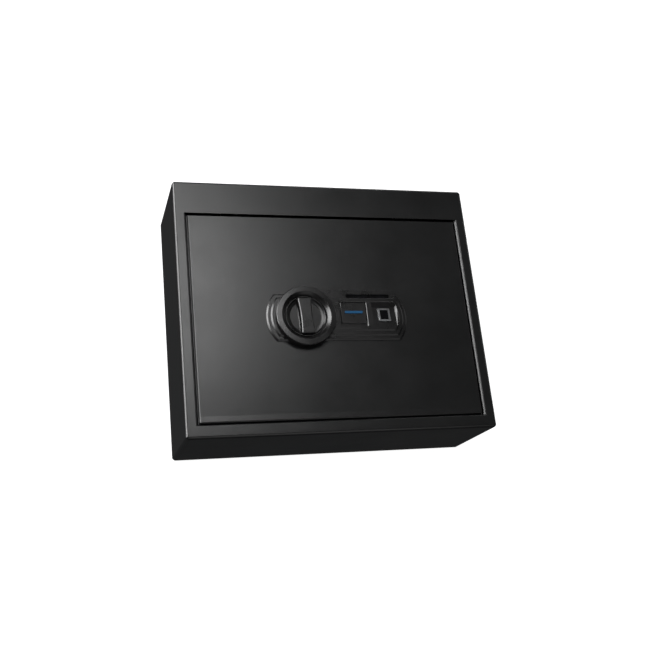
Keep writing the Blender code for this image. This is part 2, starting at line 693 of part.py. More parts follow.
def key_lock():
    """Barrel through the lid with its nut, the plug that the key turns, and its cam."""
    barrel_low, barrel_top = 0.0840, KEY_FLOOR - GAP
    profile = [(0.0046, barrel_top), (0.0066, barrel_top), (0.0072, barrel_top - 0.0006),
               (0.0072, barrel_low), (0.0046, barrel_low)]
    finish(turned("key_barrel", profile, KEY, 32, closed=True), SATIN_METAL, LID_BODY)
    nut = cylinder("barrel_nut", 0.0115, (*KEY, UNDER_LID - 0.0015), 0.003, "Z", 6)
    cut_round(nut, 0.0074, KEY, UNDER_LID - 0.005, UNDER_LID + 0.002, 32)
    finish(nut, ZINC, LID_BODY)
    plug = upright("key_plug", 0.0043, KEY, barrel_low - 0.0012, barrel_top - 0.0002, 24)
    join(plug, upright("key_plug_tail", 0.0022, KEY, 0.0795, barrel_low, 16))
    keyway = (0.0006, 0.0032)
    cut_box(plug, (KEY[0] - keyway[0], KEY[1] - keyway[1], barrel_top - 0.006),
            (KEY[0] + keyway[0], KEY[1] + keyway[1], barrel_top + 0.001))
    finish(plug, BRASS, PLUG_BODY)
    outline = [(0.0, -0.0045), (0.012, -0.003), (0.012, 0.003), (0.0, 0.0045), (-0.0045, 0.0)]
    outline = [(KEY[0] + x, KEY[1] + y) for x, y in rounded(outline, 0.0015, 3)]
    cam = prism("plug_cam", outline, 0.0805, 0.0823, 0.0)
    cut_round(cam, 0.0024, KEY, 0.079, 0.084, 16)
    finish(cam, ZINC, PLUG_BODY)


def key_cover():
    """Pull-off cover over the key lock, with a plain coloured bar on its face."""
    low, high = PANEL_TOP - 0.0017, PANEL_TOP + 0.0006
    half = (KEY_COVER[0] / 2, KEY_COVER[1] / 2)
    outline = rounded(rectangle((KEY[0] - half[0], KEY[1] - half[1]),
                                (KEY[0] + half[0], KEY[1] + half[1])), 0.0010, 2)
    finish(prism("key_cover", outline, low, high, 0.0004), BLACK_PLASTIC, COVER_BODY)
    bar = rounded(rectangle((KEY[0] - 0.0098, KEY[1] - 0.0003), (KEY[0] + 0.0098, KEY[1] + 0.0015)),
                  0.0008, 3)
    finish(prism("cover_bar", bar, high + 0.0001, high + 0.0004), BLUE, COVER_BODY)


# ---------------------------------------------------------------- bolt work

def bolt_carriage():
    """T-shaped plate under the lid: crank slot, post slots, plunger notches and bolt tabs."""
    stem_x = (KNOB[0] - STEM_HALF, KNOB[0] + STEM_HALF)
    end = BOLT_X + BAR_END
    outline = [(-end, BAR_Y[0]), (end, BAR_Y[0]), (end, BAR_Y[1]), (stem_x[1], BAR_Y[1]),
               (stem_x[1], STEM_REAR), (stem_x[0], STEM_REAR), (stem_x[0], BAR_Y[1]),
               (-end, BAR_Y[1])]
    obj = prism("bolt_carriage", rounded(outline, 0.002, 2), *CARRIAGE_Z)
    for x in (-BOLT_X, BOLT_X):
        tab = box("bolt_carriage_tab", (x - 0.007, TAB_Y[0], CARRIAGE_Z[0] + 0.0002),
                  (x + 0.007, TAB_Y[1], BOLT_Z + 0.005))
        join(obj, tab)
        combine(obj, cylinder("bolt_carriage_eye", 0.0028, (x, TAB_Y[0], BOLT_Z), 0.008, "Y", 16))
    for y in POST_Y:
        slot = rounded(rectangle((KNOB[0] - 0.003, y - 0.0031),
                                 (KNOB[0] + 0.003, y + BOLT_THROW + 0.0031)), 0.0029, 4)
        combine(obj, prism("bolt_carriage_slot", slot, CARRIAGE_Z[0] - 0.001, CARRIAGE_Z[1] + 0.001))
    below, above = CARRIAGE_Z[0] - 0.001, CARRIAGE_Z[1] + 0.001
    crank_y = KNOB[1] + CRANK * math.sin(math.pi / 4)
    slot_half = CRANK_PIN_R + 0.0004
    cut_box(obj, (KNOB[0] + 0.003, crank_y - slot_half, below),
            (KNOB[0] + 0.0115, crank_y + slot_half, above))
    notch_half = PLUNGER_R + 0.0006
    for shift in (0.0, BOLT_THROW):
        y = PLUNGER_Y + shift
        cut_box(obj, (stem_x[1] - 0.0058, y - notch_half, below),
                (stem_x[1] + 0.002, y + notch_half, above))
    finish(obj, ZINC, BOLT_BODY)


def locking_bolt(side, x):
    """Round bolt with a bevelled nose and a stud that goes through the carriage's tab."""
    tail = TAB_Y[0] - GAP
    length = tail - BOLT_TIP
    obj = cylinder(f"locking_bolt_{side}", BOLT_R, (x, (BOLT_TIP + tail) / 2, BOLT_Z), length, "Y", 20)
    nose = obj.modifiers.new("nose", "BEVEL")
    nose.width = 0.0008
    nose.segments = 1
    nose.limit_method = "ANGLE"
    nose.angle_limit = math.radians(60)
    join(obj, cylinder(obj.name + "_stud", 0.0025, (x, tail + 0.003, BOLT_Z), 0.008, "Y", 16))
    finish(obj, SATIN_METAL, BOLT_BODY)


def bolt_guide(side, x):
    obj = box(f"bolt_guide_{side}", (x - GUIDE_HALF, GUIDE_Y[0], GUIDE_LOW),
              (x + GUIDE_HALF, GUIDE_Y[1], UNDER_LID), 0.0006)
    bore = cylinder(obj.name + "_cut", BOLT_R + 0.0002, (x, sum(GUIDE_Y) / 2, BOLT_Z), 0.02, "Y", 20)
    combine(obj, bore)
    finish(obj, GREY_PLASTIC, LID_BODY)


def guide_posts():
    """Headed posts under the lid that carry the carriage in its slots."""
    for number, y in enumerate(POST_Y, 1):
        head_top = CARRIAGE_Z[0] - GAP
        profile = [(0.0, UNDER_LID), (0.0045, UNDER_LID), (0.0045, CARRIAGE_Z[1] + GAP),
                   (POST_R, CARRIAGE_Z[1] + GAP), (POST_R, head_top), (0.0048, head_top),
                   (0.0048, head_top - 0.0014), (0.0042, head_top - 0.002),
                   (0.0, head_top - 0.002)]
        finish(turned(f"guide_post_{number}", profile, (KNOB[0], y), 16), ZINC, LID_BODY)


def solenoid():
    """Frame, coil, plunger and return spring of the solenoid that blocks the carriage."""
    low, high = SOLENOID_X
    wall = 0.0015
    half = 0.0070
    frame = box("solenoid_frame", (low, PLUNGER_Y - half, PLUNGER_Z - half),
                (high, PLUNGER_Y + half, UNDER_LID))
    cut_box(frame, (low + wall, PLUNGER_Y - half - 0.001, PLUNGER_Z - half - 0.001),
            (high - wall, PLUNGER_Y + half + 0.001, PLUNGER_Z + half - wall + 0.0008))
    centre = ((low + high) / 2, PLUNGER_Y, PLUNGER_Z)
    bore_r = PLUNGER_R + 0.0004
    combine(frame, cylinder("solenoid_frame_cut", bore_r, centre, 0.05, "X", 20))
    finish(frame, ZINC, LID_BODY)
    coil = cylinder("solenoid_coil", 0.0060, centre, high - low - 2 * (wall + GAP), "X", 28)
    combine(coil, cylinder("solenoid_coil_cut", bore_r, centre, 0.05, "X", 20))
    finish(coil, COPPER, LID_BODY)
    tip = KNOB[0] + STEM_HALF + 0.0005
    tail = high + 0.0085
    plunger = cylinder("plunger", PLUNGER_R, ((tip + tail) / 2, PLUNGER_Y, PLUNGER_Z),
                       tail - tip, "X", 20)
    disc = cylinder("plunger_disc", 0.0040, (tail - 0.0005, PLUNGER_Y, PLUNGER_Z), 0.0010, "X", 20)
    join(plunger, disc)
    collar = cylinder("plunger_collar", 0.0040, (low - 0.0058, PLUNGER_Y, PLUNGER_Z), 0.0010, "X", 20)
    join(plunger, collar)
    finish(plunger, SATIN_METAL, PLUNGER_BODY)
    turns, steps, reach, radius = 4, 8, 0.0040, 0.0030
    points = []
    for index in range(turns * steps + 1):
        angle = 2 * math.pi * index / steps
        x = low - GAP - 0.0004 - reach * index / (turns * steps)
        points.append((x, PLUNGER_Y + radius * math.cos(angle), PLUNGER_Z + radius * math.sin(angle)))
    finish(wire("plunger_spring", points, 0.0003, 1), SATIN_METAL, LID_BODY)


# ---------------------------------------------------------------- housing and electronics


def lock_housing():
    """Moulded cover under the lid that hides the lock work and the electronics."""
    low, high = Vector(HOUSING[0]), Vector(HOUSING[1])
    wall = Vector((HOUSING_WALL, HOUSING_WALL, HOUSING_WALL))
    obj = box("lock_housing", low, high)
    rim = box("lock_housing_rim", (low.x - FLANGE_WIDE, low.y, high.z - FLANGE_THICK),
              (high.x + FLANGE_WIDE, high.y, high.z - 0.0001))
    join(obj, rim)
    cut_box(obj, low + wall, (high.x - wall.x, high.y - wall.y, high.z + 0.001))
    cut_box(obj, (HATCH[0][0], HATCH[0][1], low.z - 0.001),
            (HATCH[1][0], HATCH[1][1], low.z + 0.004))
    for x in (-BOLT_X, BOLT_X):
        combine(obj, cylinder("lock_housing_cut", BOLT_R + 0.001, (x, low.y, BOLT_Z), 0.01, "Y", 24))
    for spot in SCREWS:
        cut_round(obj, 0.0019, spot, high.z - 0.004, high.z + 0.001, 16)
    cut_round(obj, 0.0043, BUTTON, low.z - 0.001, low.z + 0.004)
    finish(obj, BLACK_PLASTIC, LID_BODY)


def housing_screws():
    under = HOUSING[1][2] - FLANGE_THICK - GAP
    for number, spot in enumerate(SCREWS, 1):
        profile = [(0.0, UNDER_LID - GAP), (0.0016, UNDER_LID - GAP), (0.0016, under),
                   (0.0031, under), (0.0031, under - 0.0010), (0.0022, under - 0.0018),
                   (0.0, under - 0.0018)]
        finish(turned(f"housing_screw_{number}", profile, spot, 16), ZINC, LID_BODY)


def battery_bay():
    """Tray for four cells, the cells, and the cover that pulls down out of the housing."""
    tray_low, tray_high = 0.0785, UNDER_LID
    roof = 0.0925
    (left, front), (right, rear) = HATCH
    tray = box("battery_tray", (left, front, tray_low), (right, rear, tray_high))
    wall = 0.0013
    cut_box(tray, (left + wall, front + wall, tray_low - 0.001), (right - wall, rear - wall, roof))
    cut_box(tray, (left + wall, front + wall, roof + 0.0018),
            (right - wall, rear - wall, tray_high + 0.001))
    finish(tray, BLACK_PLASTIC, LID_BODY)
    number = 0
    middle = (left + right) / 2
    for y in CELL_Y:
        for side in (-1, 1):
            number += 1
            x = middle + side * (CELL_LENGTH / 2 + GAP)
            cell = cylinder(f"cell_{number}", CELL_R, (x, y, roof - GAP - CELL_R),
                            CELL_LENGTH - 0.0015, "X", 24)
            nub = cylinder("cell_nub", 0.0027, (x, y, roof - GAP - CELL_R), CELL_LENGTH, "X", 12)
            join(cell, nub)
            finish(cell, CELL, LID_BODY)
    floor = HOUSING[0][2]
    cover = box("battery_cover", (left + GAP, front + GAP, floor),
                (right - GAP, rear - GAP, floor + 0.0018), 0.0004)
    finish(cover, BLACK_PLASTIC, HATCH_BODY)


def enrol_button():
    floor = HOUSING[0][2]
    inside = floor + HOUSING_WALL + GAP
    profile = [(0.0, inside + 0.003), (0.0052, inside + 0.003), (0.0052, inside),
               (0.0040, inside), (0.0040, floor - 0.0012), (0.0034, floor - 0.0018),
               (0.0, floor - 0.0018)]
    finish(turned("enrol_button", profile, BUTTON, 24), GREY_PLASTIC, BUTTON_BODY)


def circuit_board():
    """Control board on four spacers, with its main chips."""
    low, high = (0.036, -0.034), (0.090, 0.009)
    level = 0.0946
    obj = box("circuit_board", (*low, level), (*high, level + 0.0016))
    for x in (low[0] + 0.004, high[0] - 0.004):
        for y in (low[1] + 0.004, high[1] - 0.004):
            join(obj, upright("circuit_board_spacer", 0.002, (x, y), level + 0.001, UNDER_LID, 12))
    for x, y, size, tall in ((0.055, -0.022, 0.010, 0.0016), (0.074, -0.014, 0.007, 0.0022),
                             (0.070, -0.002, 0.006, 0.0040)):
        join(obj, box("circuit_board_chip", (x - size / 2, y - size / 2, level - tall),
                      (x + size / 2, y + size / 2, level + 0.0008)))
    finish(obj, BOARD, LID_BODY)


def wiring():
    """The leads inside the lid, each made whole along its real route."""
    finish(wire("sensor_cable", [(0.0515, -0.0138, 0.1052), (0.0512, -0.0135, 0.1020),
                                 (0.0520, -0.0125, 0.0990), (0.0520, -0.0120, 0.0965)], 0.0010),
           WIRE, LID_BODY)
    finish(wire("battery_lead", [(0.0600, 0.0137, 0.0975), (0.0602, 0.0122, 0.0972),
                                 (0.0606, 0.0112, 0.0990), (0.0608, 0.0085, 0.0992),
                                 (0.0610, 0.0060, 0.0985), (0.0610, 0.0050, 0.0966)], 0.0008),
           WIRE, LID_BODY)
    finish(wire("solenoid_lead", [(0.0205, -0.0430, 0.0960), (0.0240, -0.0425, 0.0955),
                                  (0.0290, -0.0390, 0.0965), (0.0340, -0.0330, 0.0985),
                                  (0.0400, -0.0250, 0.0990), (0.0430, -0.0220, 0.0980)], 0.0008),
           WIRE, LID_BODY)


# ---------------------------------------------------------------- assembly

def build():
    outer_shell()
    base_plate()
    anchor_plugs()
    floor_mat()
    strike_bar()
    for side, x in (("left", -HINGE_X), ("right", HINGE_X)):
        hinge_bracket(side, x)
        hinge_pin(side, x)
        hinge_arm(side, x)
    lid_plate()
    lock_panel()
    fingerprint_sensor()
    status_light_lens()
    ring_bezel()
    knob()
    knob_drive()
    key_lock()
    key_cover()
    bolt_carriage()
    for side, x in (("left", -BOLT_X), ("right", BOLT_X)):
        locking_bolt(side, x)
        bolt_guide(side, x)
    guide_posts()
    solenoid()
    lock_housing()
    housing_screws()
    battery_bay()
    enrol_button()
    circuit_board()
    wiring()


build()
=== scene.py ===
"""The looks of the drawer gun safe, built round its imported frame. All lengths are metres."""

import json
import math

import bmesh
import bpy
from mathutils import Matrix, Vector, noise

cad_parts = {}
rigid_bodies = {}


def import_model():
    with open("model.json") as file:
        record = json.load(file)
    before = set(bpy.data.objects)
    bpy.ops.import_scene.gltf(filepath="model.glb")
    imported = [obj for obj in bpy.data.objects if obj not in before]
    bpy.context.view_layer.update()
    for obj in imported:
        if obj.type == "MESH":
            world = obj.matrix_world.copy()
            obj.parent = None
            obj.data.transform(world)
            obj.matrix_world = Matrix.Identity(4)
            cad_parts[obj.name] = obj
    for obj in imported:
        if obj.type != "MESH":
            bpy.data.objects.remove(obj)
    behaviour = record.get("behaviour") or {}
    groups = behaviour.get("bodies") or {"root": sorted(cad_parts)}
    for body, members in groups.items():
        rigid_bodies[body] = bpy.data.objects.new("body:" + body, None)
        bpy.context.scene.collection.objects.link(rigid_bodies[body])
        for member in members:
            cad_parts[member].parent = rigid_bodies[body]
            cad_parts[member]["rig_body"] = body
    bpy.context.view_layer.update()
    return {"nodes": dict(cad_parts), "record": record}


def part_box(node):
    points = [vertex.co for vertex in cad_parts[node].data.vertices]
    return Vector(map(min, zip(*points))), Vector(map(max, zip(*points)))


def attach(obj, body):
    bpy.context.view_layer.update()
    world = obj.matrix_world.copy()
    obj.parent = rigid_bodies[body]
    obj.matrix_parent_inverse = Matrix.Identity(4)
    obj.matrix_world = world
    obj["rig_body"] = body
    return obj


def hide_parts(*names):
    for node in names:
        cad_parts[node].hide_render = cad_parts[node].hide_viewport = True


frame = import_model()
NODES = frame["nodes"]

# ---------------------------------------------------------------- measures from the frame


def low(name):
    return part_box(name)[0]


def high(name):
    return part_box(name)[1]


def middle(name):
    return (low(name) + high(name)) / 2


SHELL_LOW, SHELL_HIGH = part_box("outer_shell")
LID_LOW, LID_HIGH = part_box("lid_plate")
PANEL_LOW, PANEL_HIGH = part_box("lock_panel")
LIGHT_LOW, LIGHT_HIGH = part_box("status_light_lens")
COVER_LOW, COVER_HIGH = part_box("key_cover")
BAR_LOW, BAR_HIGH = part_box("cover_bar")
MAT_LOW, MAT_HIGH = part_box("floor_mat")
KNOB = middle("spindle").xy
KEY = middle("key_barrel").xy
SENSOR = middle("sensor_bezel")
LID_TOP = LID_HIGH.z
PANEL_TOP = PANEL_HIGH.z
PANEL_BASE = PANEL_LOW.z
KNOB_R = (high("knob").x - low("knob").x) / 2
KNOB_BOTTOM = low("knob").z
GRIP_TOP = high("knob").z


# ---------------------------------------------------------------- materials

def new_material(name):
    material = bpy.data.materials.new(name)
    material.use_nodes = True
    tree = material.node_tree
    return material, tree, tree.nodes["Principled BSDF"]


def object_coords(tree):
    return tree.nodes.new("ShaderNodeTexCoord").outputs["Object"]


def noise_tex(tree, coords, scale, detail=3.0, rough=0.5):
    made = tree.nodes.new("ShaderNodeTexNoise")
    made.inputs["Scale"].default_value = scale
    made.inputs["Detail"].default_value = detail
    made.inputs["Roughness"].default_value = rough
    tree.links.new(coords, made.inputs["Vector"])
    return made.outputs["Fac"]


def cells_tex(tree, coords, scale):
    made = tree.nodes.new("ShaderNodeTexVoronoi")
    made.inputs["Scale"].default_value = scale
    tree.links.new(coords, made.inputs["Vector"])
    return made.outputs["Distance"]


def spread(tree, value, low_out, high_out, low_in=0.0, high_in=1.0):
    made = tree.nodes.new("ShaderNodeMapRange")
    made.inputs["From Min"].default_value = low_in
    made.inputs["From Max"].default_value = high_in
    made.inputs["To Min"].default_value = low_out
    made.inputs["To Max"].default_value = high_out
    tree.links.new(value, made.inputs["Value"])
    return made.outputs["Result"]


def mix_colour(tree, factor, first, second):
    made = tree.nodes.new("ShaderNodeMix")
    made.data_type = "RGBA"
    tree.links.new(factor, made.inputs["Factor"])
    for socket, value in ((made.inputs[6], first), (made.inputs[7], second)):
        if isinstance(value, tuple):
            socket.default_value = (*value, 1.0)
        else:
            tree.links.new(value, socket)
    return made.outputs[2]


def maths(tree, operation, first, second):
    made = tree.nodes.new("ShaderNodeMath")
    made.operation = operation
    for socket, value in zip(made.inputs, (first, second)):
        if isinstance(value, float):
            socket.default_value = value
        else:
            tree.links.new(value, socket)
    return made.outputs[0]


def bump(tree, height, distance, strength=1.0, under=None):
    made = tree.nodes.new("ShaderNodeBump")
    made.inputs["Distance"].default_value = distance
    made.inputs["Strength"].default_value = strength
    tree.links.new(height, made.inputs["Height"])
    if under is not None:
        tree.links.new(under, made.inputs["Normal"])
    return made.outputs["Normal"]


def edge_wear(tree, radius, spots=None):
    """A mask that is high where the surface turns within radius, broken up by spots."""
    bent = tree.nodes.new("ShaderNodeBevel")
    bent.samples = 4
    bent.inputs["Radius"].default_value = radius
    straight = tree.nodes.new("ShaderNodeNewGeometry").outputs["Normal"]
    dot = tree.nodes.new("ShaderNodeVectorMath")
    dot.operation = "DOT_PRODUCT"
    tree.links.new(bent.outputs["Normal"], dot.inputs[0])
    tree.links.new(straight, dot.inputs[1])
    mask = spread(tree, dot.outputs["Value"], 1.0, 0.0, 0.80, 0.985)
    if spots is not None:
        mask = maths(tree, "MULTIPLY", mask, spots)
    return mask


def powder_coat():
    """Black powder coat: fine pebbled skin with a painted highlight on its raised pebbles, soft
    patches of gloss, paler where edges rub.
    """
    material, tree, shader = new_material("powder_coat_fine")
    coords = object_coords(tree)
    pebble = noise_tex(tree, coords, 1500.0, 2.0, 0.55)
    grain = noise_tex(tree, coords, 4200.0, 1.0)
    cloud = noise_tex(tree, coords, 22.0, 4.0, 0.6)
    rub = spread(tree, noise_tex(tree, coords, 160.0, 3.0), 0.0, 1.0, 0.45, 0.7)
    base = mix_colour(tree, cloud, (0.0062, 0.0065, 0.0066), (0.0086, 0.0090, 0.0091))
    # painted highlight: the raised pebbles of the skin are painted a lighter colour
    base = mix_colour(tree, spread(tree, pebble, 0.0, 0.45, 0.45, 0.75), base,
                      (0.015, 0.0155, 0.0157))
    base = mix_colour(tree, maths(tree, "MULTIPLY", edge_wear(tree, 0.0008, rub), 0.5), base,
                      (0.050, 0.051, 0.052))
    tree.links.new(base, shader.inputs["Base Color"])
    speckle = spread(tree, noise_tex(tree, coords, 430.0, 3.0, 0.75), -0.016, 0.016, 0.32, 0.68)
    gloss = maths(tree, "ADD", spread(tree, cloud, 0.29, 0.345, 0.3, 0.7), speckle)
    tree.links.new(gloss, shader.inputs["Roughness"])
    shader.inputs["Specular IOR Level"].default_value = 0.9
    skin = bump(tree, pebble, 0.00008, 0.5)
    tree.links.new(bump(tree, grain, 0.00001, 0.5, skin), shader.inputs["Normal"])
    return material


def moulded_plastic(name, dark, light, roughness, texture=0.5, scale=2600.0, gloss=0.5):
    """Moulded plastic: spark-eroded grain, slight gloss patches and a rubbed edge."""
    material, tree, shader = new_material(name)
    coords = object_coords(tree)
    grain = noise_tex(tree, coords, scale, 2.0, 0.6)
    cloud = noise_tex(tree, coords, 60.0, 3.0)
    base = mix_colour(tree, cloud, dark, light)
    worn = tuple(min(1.0, 3.0 * c + 0.02) for c in light)
    base = mix_colour(tree, maths(tree, "MULTIPLY", edge_wear(tree, 0.0003), 0.35), base, worn)
    tree.links.new(base, shader.inputs["Base Color"])
    rough = maths(tree, "ADD", spread(tree, cloud, roughness - 0.04, roughness + 0.05, 0.3, 0.7),
                  spread(tree, grain, -0.02, 0.02))
    tree.links.new(rough, shader.inputs["Roughness"])
    shader.inputs["Specular IOR Level"].default_value = gloss
    tree.links.new(bump(tree, grain, 0.00004, texture), shader.inputs["Normal"])
    return material


SMEAR_TINT = (0.02, 0.02, 0.03)


def polished(name, colour, roughness):
    """Glass or clear-topped plastic with faint smears."""
    material, tree, shader = new_material(name)
    coords = object_coords(tree)
    smear = noise_tex(tree, coords, 180.0, 5.0, 0.65)
    tree.links.new(mix_colour(tree, spread(tree, smear, 0.0, 0.5, 0.5, 0.8), colour, SMEAR_TINT),
                   shader.inputs["Base Color"])
    tree.links.new(spread(tree, smear, roughness, roughness + 0.14, 0.4, 0.8),
                   shader.inputs["Roughness"])
    shader.inputs["Coat Weight"].default_value = 0.6
    shader.inputs["Coat Roughness"].default_value = 0.04
    return material


def brushed_metal(name, dark, light, roughness, stretch=(1.0, 18.0, 18.0), scale=900.0):
    """Metal with drawn or brushed lines, stains in the low gloss and bright rubbed edges."""
    material, tree, shader = new_material(name)
    mapping = tree.nodes.new("ShaderNodeMapping")
    mapping.inputs["Scale"].default_value = stretch
    tree.links.new(object_coords(tree), mapping.inputs["Vector"])
    lines = noise_tex(tree, mapping.outputs["Vector"], scale / 12.0, 3.0, 0.7)
    stain = noise_tex(tree, object_coords(tree), 130.0, 4.0, 0.6)
    base = mix_colour(tree, stain, dark, light)
    base = mix_colour(tree, maths(tree, "MULTIPLY", lines, 0.25), base,
                      tuple(0.7 * c for c in dark))
    shine = tuple(min(1.0, 1.35 * c) for c in light)
    base = mix_colour(tree, maths(tree, "MULTIPLY", edge_wear(tree, 0.0004), 0.6), base, shine)
    tree.links.new(base, shader.inputs["Base Color"])
    shader.inputs["Metallic"].default_value = 1.0
    rough = maths(tree, "ADD", spread(tree, stain, roughness - 0.05, roughness + 0.12, 0.3, 0.7),
                  spread(tree, lines, -0.05, 0.05))
    tree.links.new(rough, shader.inputs["Roughness"])
    tree.links.new(bump(tree, lines, 0.00002, 0.4), shader.inputs["Normal"])
    return material


def foam():
    """Open-cell foam: pits of two sizes, dull, with painted shade darkening the pits."""
    material, tree, shader = new_material("foam_cells")
    coords = object_coords(tree)
    pits = cells_tex(tree, coords, 1100.0)
    crumbs = noise_tex(tree, coords, 420.0, 4.0, 0.7)
    # painted shade: the colour is darkest at the centre of each pit
    tree.links.new(mix_colour(tree, pits, (0.018, 0.018, 0.0186), (0.080, 0.080, 0.083)),
                   shader.inputs["Base Color"])
    tree.links.new(spread(tree, crumbs, 0.86, 1.0), shader.inputs["Roughness"])
    shader.inputs["Sheen Weight"].default_value = 0.25
    shader.inputs["Sheen Roughness"].default_value = 0.5
    shader.inputs["Specular IOR Level"].default_value = 0.15
    rough = bump(tree, crumbs, 0.0004, 0.6)
    tree.links.new(bump(tree, pits, 0.0003, 0.9, rough), shader.inputs["Normal"])
    return material


def board_green():
    """Solder mask over faint copper tracks, with tinned pads."""
    material, tree, shader = new_material("solder_mask")
    coords = object_coords(tree)
    mapping = tree.nodes.new("ShaderNodeMapping")
    mapping.inputs["Scale"].default_value = (420.0, 420.0, 420.0)
    tree.links.new(coords, mapping.inputs["Vector"])
    brick = tree.nodes.new("ShaderNodeTexBrick")
    brick.inputs["Color1"].default_value = (0.006, 0.070, 0.026, 1.0)
    brick.inputs["Color2"].default_value = (0.010, 0.105, 0.040, 1.0)
    brick.inputs["Mortar"].default_value = (0.020, 0.160, 0.070, 1.0)
    brick.inputs["Scale"].default_value = 1.0
    brick.inputs["Mortar Size"].default_value = 0.05
    tree.links.new(mapping.outputs["Vector"], brick.inputs["Vector"])
    pads = spread(tree, cells_tex(tree, coords, 520.0), 1.0, 0.0, 0.12, 0.16)
    tree.links.new(mix_colour(tree, pads, brick.outputs["Color"], (0.55, 0.53, 0.48)),
                   shader.inputs["Base Color"])
    tree.links.new(pads, shader.inputs["Metallic"])
    tree.links.new(spread(tree, noise_tex(tree, coords, 300.0), 0.25, 0.45),
                   shader.inputs["Roughness"])
    tree.links.new(bump(tree, brick.outputs["Fac"], 0.00003, 0.5), shader.inputs["Normal"])
    return material


def copper_winding():
    """Enamelled wire wound round the coil, painted darker in the grooves between turns (painted
    shade) and lighter on their crests (painted highlight).
    """
    material, tree, shader = new_material("copper_winding")
    coords = object_coords(tree)
    wave = tree.nodes.new("ShaderNodeTexWave")
    wave.wave_type = "BANDS"
    wave.bands_direction = "X"
    wave.inputs["Scale"].default_value = 700.0
    wave.inputs["Distortion"].default_value = 0.6
    wave.inputs["Detail"].default_value = 1.0
    tree.links.new(coords, wave.inputs["Vector"])
    # painted shade in the grooves between turns and painted highlight on their crests, following
    # the wave that also makes the bump
    tree.links.new(mix_colour(tree, wave.outputs["Fac"], (0.20, 0.055, 0.020), (0.62, 0.24, 0.10)),
                   shader.inputs["Base Color"])
    shader.inputs["Metallic"].default_value = 0.9
    tree.links.new(spread(tree, noise_tex(tree, coords, 500.0), 0.25, 0.42),
                   shader.inputs["Roughness"])
    tree.links.new(bump(tree, wave.outputs["Fac"], 0.00015, 0.8), shader.inputs["Normal"])
    return material


MATERIALS = {
    "powder_coat": powder_coat(),
    "panel_plastic": moulded_plastic("panel_plastic_satin", (0.0080, 0.0077, 0.0077),
                                     (0.0115, 0.0110, 0.0110), 0.29, 0.35, 2600.0, 0.9),
    "housing_plastic": moulded_plastic("housing_plastic_matt", (0.034, 0.0343, 0.0350),
                                       (0.052, 0.0525, 0.0535), 0.44, 0.6, 1500.0),
    "grey_plastic": moulded_plastic("grey_plastic_grain", (0.045, 0.046, 0.048),
                                    (0.066, 0.067, 0.070), 0.48, 0.7, 1700.0),
    "smoked_lens": polished("smoked_lens_clear", (0.0015, 0.0015, 0.0018), 0.10),
    "sensor_glass": polished("sensor_glass_smear", (0.003, 0.003, 0.004), 0.06),
    "satin_metal": brushed_metal("satin_metal_brushed", (0.42, 0.43, 0.44), (0.62, 0.63, 0.64),
                                 0.30),
    "zinc": brushed_metal("zinc_plate", (0.36, 0.36, 0.33), (0.58, 0.57, 0.52), 0.36,
                          (6.0, 6.0, 1.0), 500.0),
    "brass": brushed_metal("brass_turned", (0.44, 0.31, 0.12), (0.70, 0.53, 0.24), 0.27,
                           (1.0, 1.0, 20.0), 800.0),
    "copper": copper_winding(),
    "foam": foam(),
    "rubber": moulded_plastic("rubber_matte", (0.010, 0.010, 0.010), (0.018, 0.018, 0.018), 0.78,
                              0.9, 1800.0, 0.3),
    "board": board_green(),
    "cell": moulded_plastic("cell_sleeve_film", (0.020, 0.021, 0.026), (0.035, 0.036, 0.042), 0.24,
                            0.2, 900.0),
    "blue_bar": moulded_plastic("blue_bar_print", (0.012, 0.120, 0.300), (0.020, 0.170, 0.400),
                                0.34, 0.3),
    "wire": moulded_plastic("wire_sleeve_red", (0.20, 0.010, 0.010), (0.32, 0.022, 0.018), 0.42,
                            0.5, 1500.0),
}
INNER_PLASTIC = ("battery_cover", "battery_tray", "lock_housing")
SLOT_OF = {part["node"]: part["material_slot"] for part in frame["record"]["subparts"]}


def dress(obj, slot_name):
    """Give a piece or a carried-over node the material of its slot."""
    obj.data.materials.clear()
    obj.data.materials.append(MATERIALS[slot_name])


# ---------------------------------------------------------------- mesh helpers

SMOOTH_ANGLE = 32.0


def to_object(name, bm, smooth_angle=SMOOTH_ANGLE):
    bmesh.ops.recalc_face_normals(bm, faces=bm.faces)
    mesh = bpy.data.meshes.new(name)
    bm.to_mesh(mesh)
    bm.free()
    mesh.shade_smooth()
    mesh.set_sharp_from_angle(angle=math.radians(smooth_angle))
    obj = bpy.data.objects.new(name, mesh)
    bpy.context.scene.collection.objects.link(obj)
    return obj


def stand_in(obj, *nodes):
    """A finished piece that rides where its nodes ride, in their slot, and hides them."""
    body = NODES[nodes[0]]["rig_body"]
    slot_name = SLOT_OF[nodes[0]]
    dress(obj, slot_name)
    even = obj.modifiers.new("even", "WEIGHTED_NORMAL")
    even.mode = "FACE_AREA"
    even.weight = 100
    even.keep_sharp = True
    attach(obj, body)
    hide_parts(*nodes)


def loft(name, rings):
    """Skin a stack of closed rings of equal count, each a list of 3D points, and cap its ends."""
    bm = bmesh.new()
    rows = [[bm.verts.new(point) for point in ring] for ring in rings]
    for lower, upper in zip(rows, rows[1:]):
        for index in range(len(lower)):
            after = (index + 1) % len(lower)
            bm.faces.new((lower[index], lower[after], upper[after], upper[index]))
    bm.faces.new(rows[0])
    bm.faces.new(rows[-1])
    return to_object(name, bm)


def at_level(outline, level):
    return [(x, y, level) for x, y in outline]


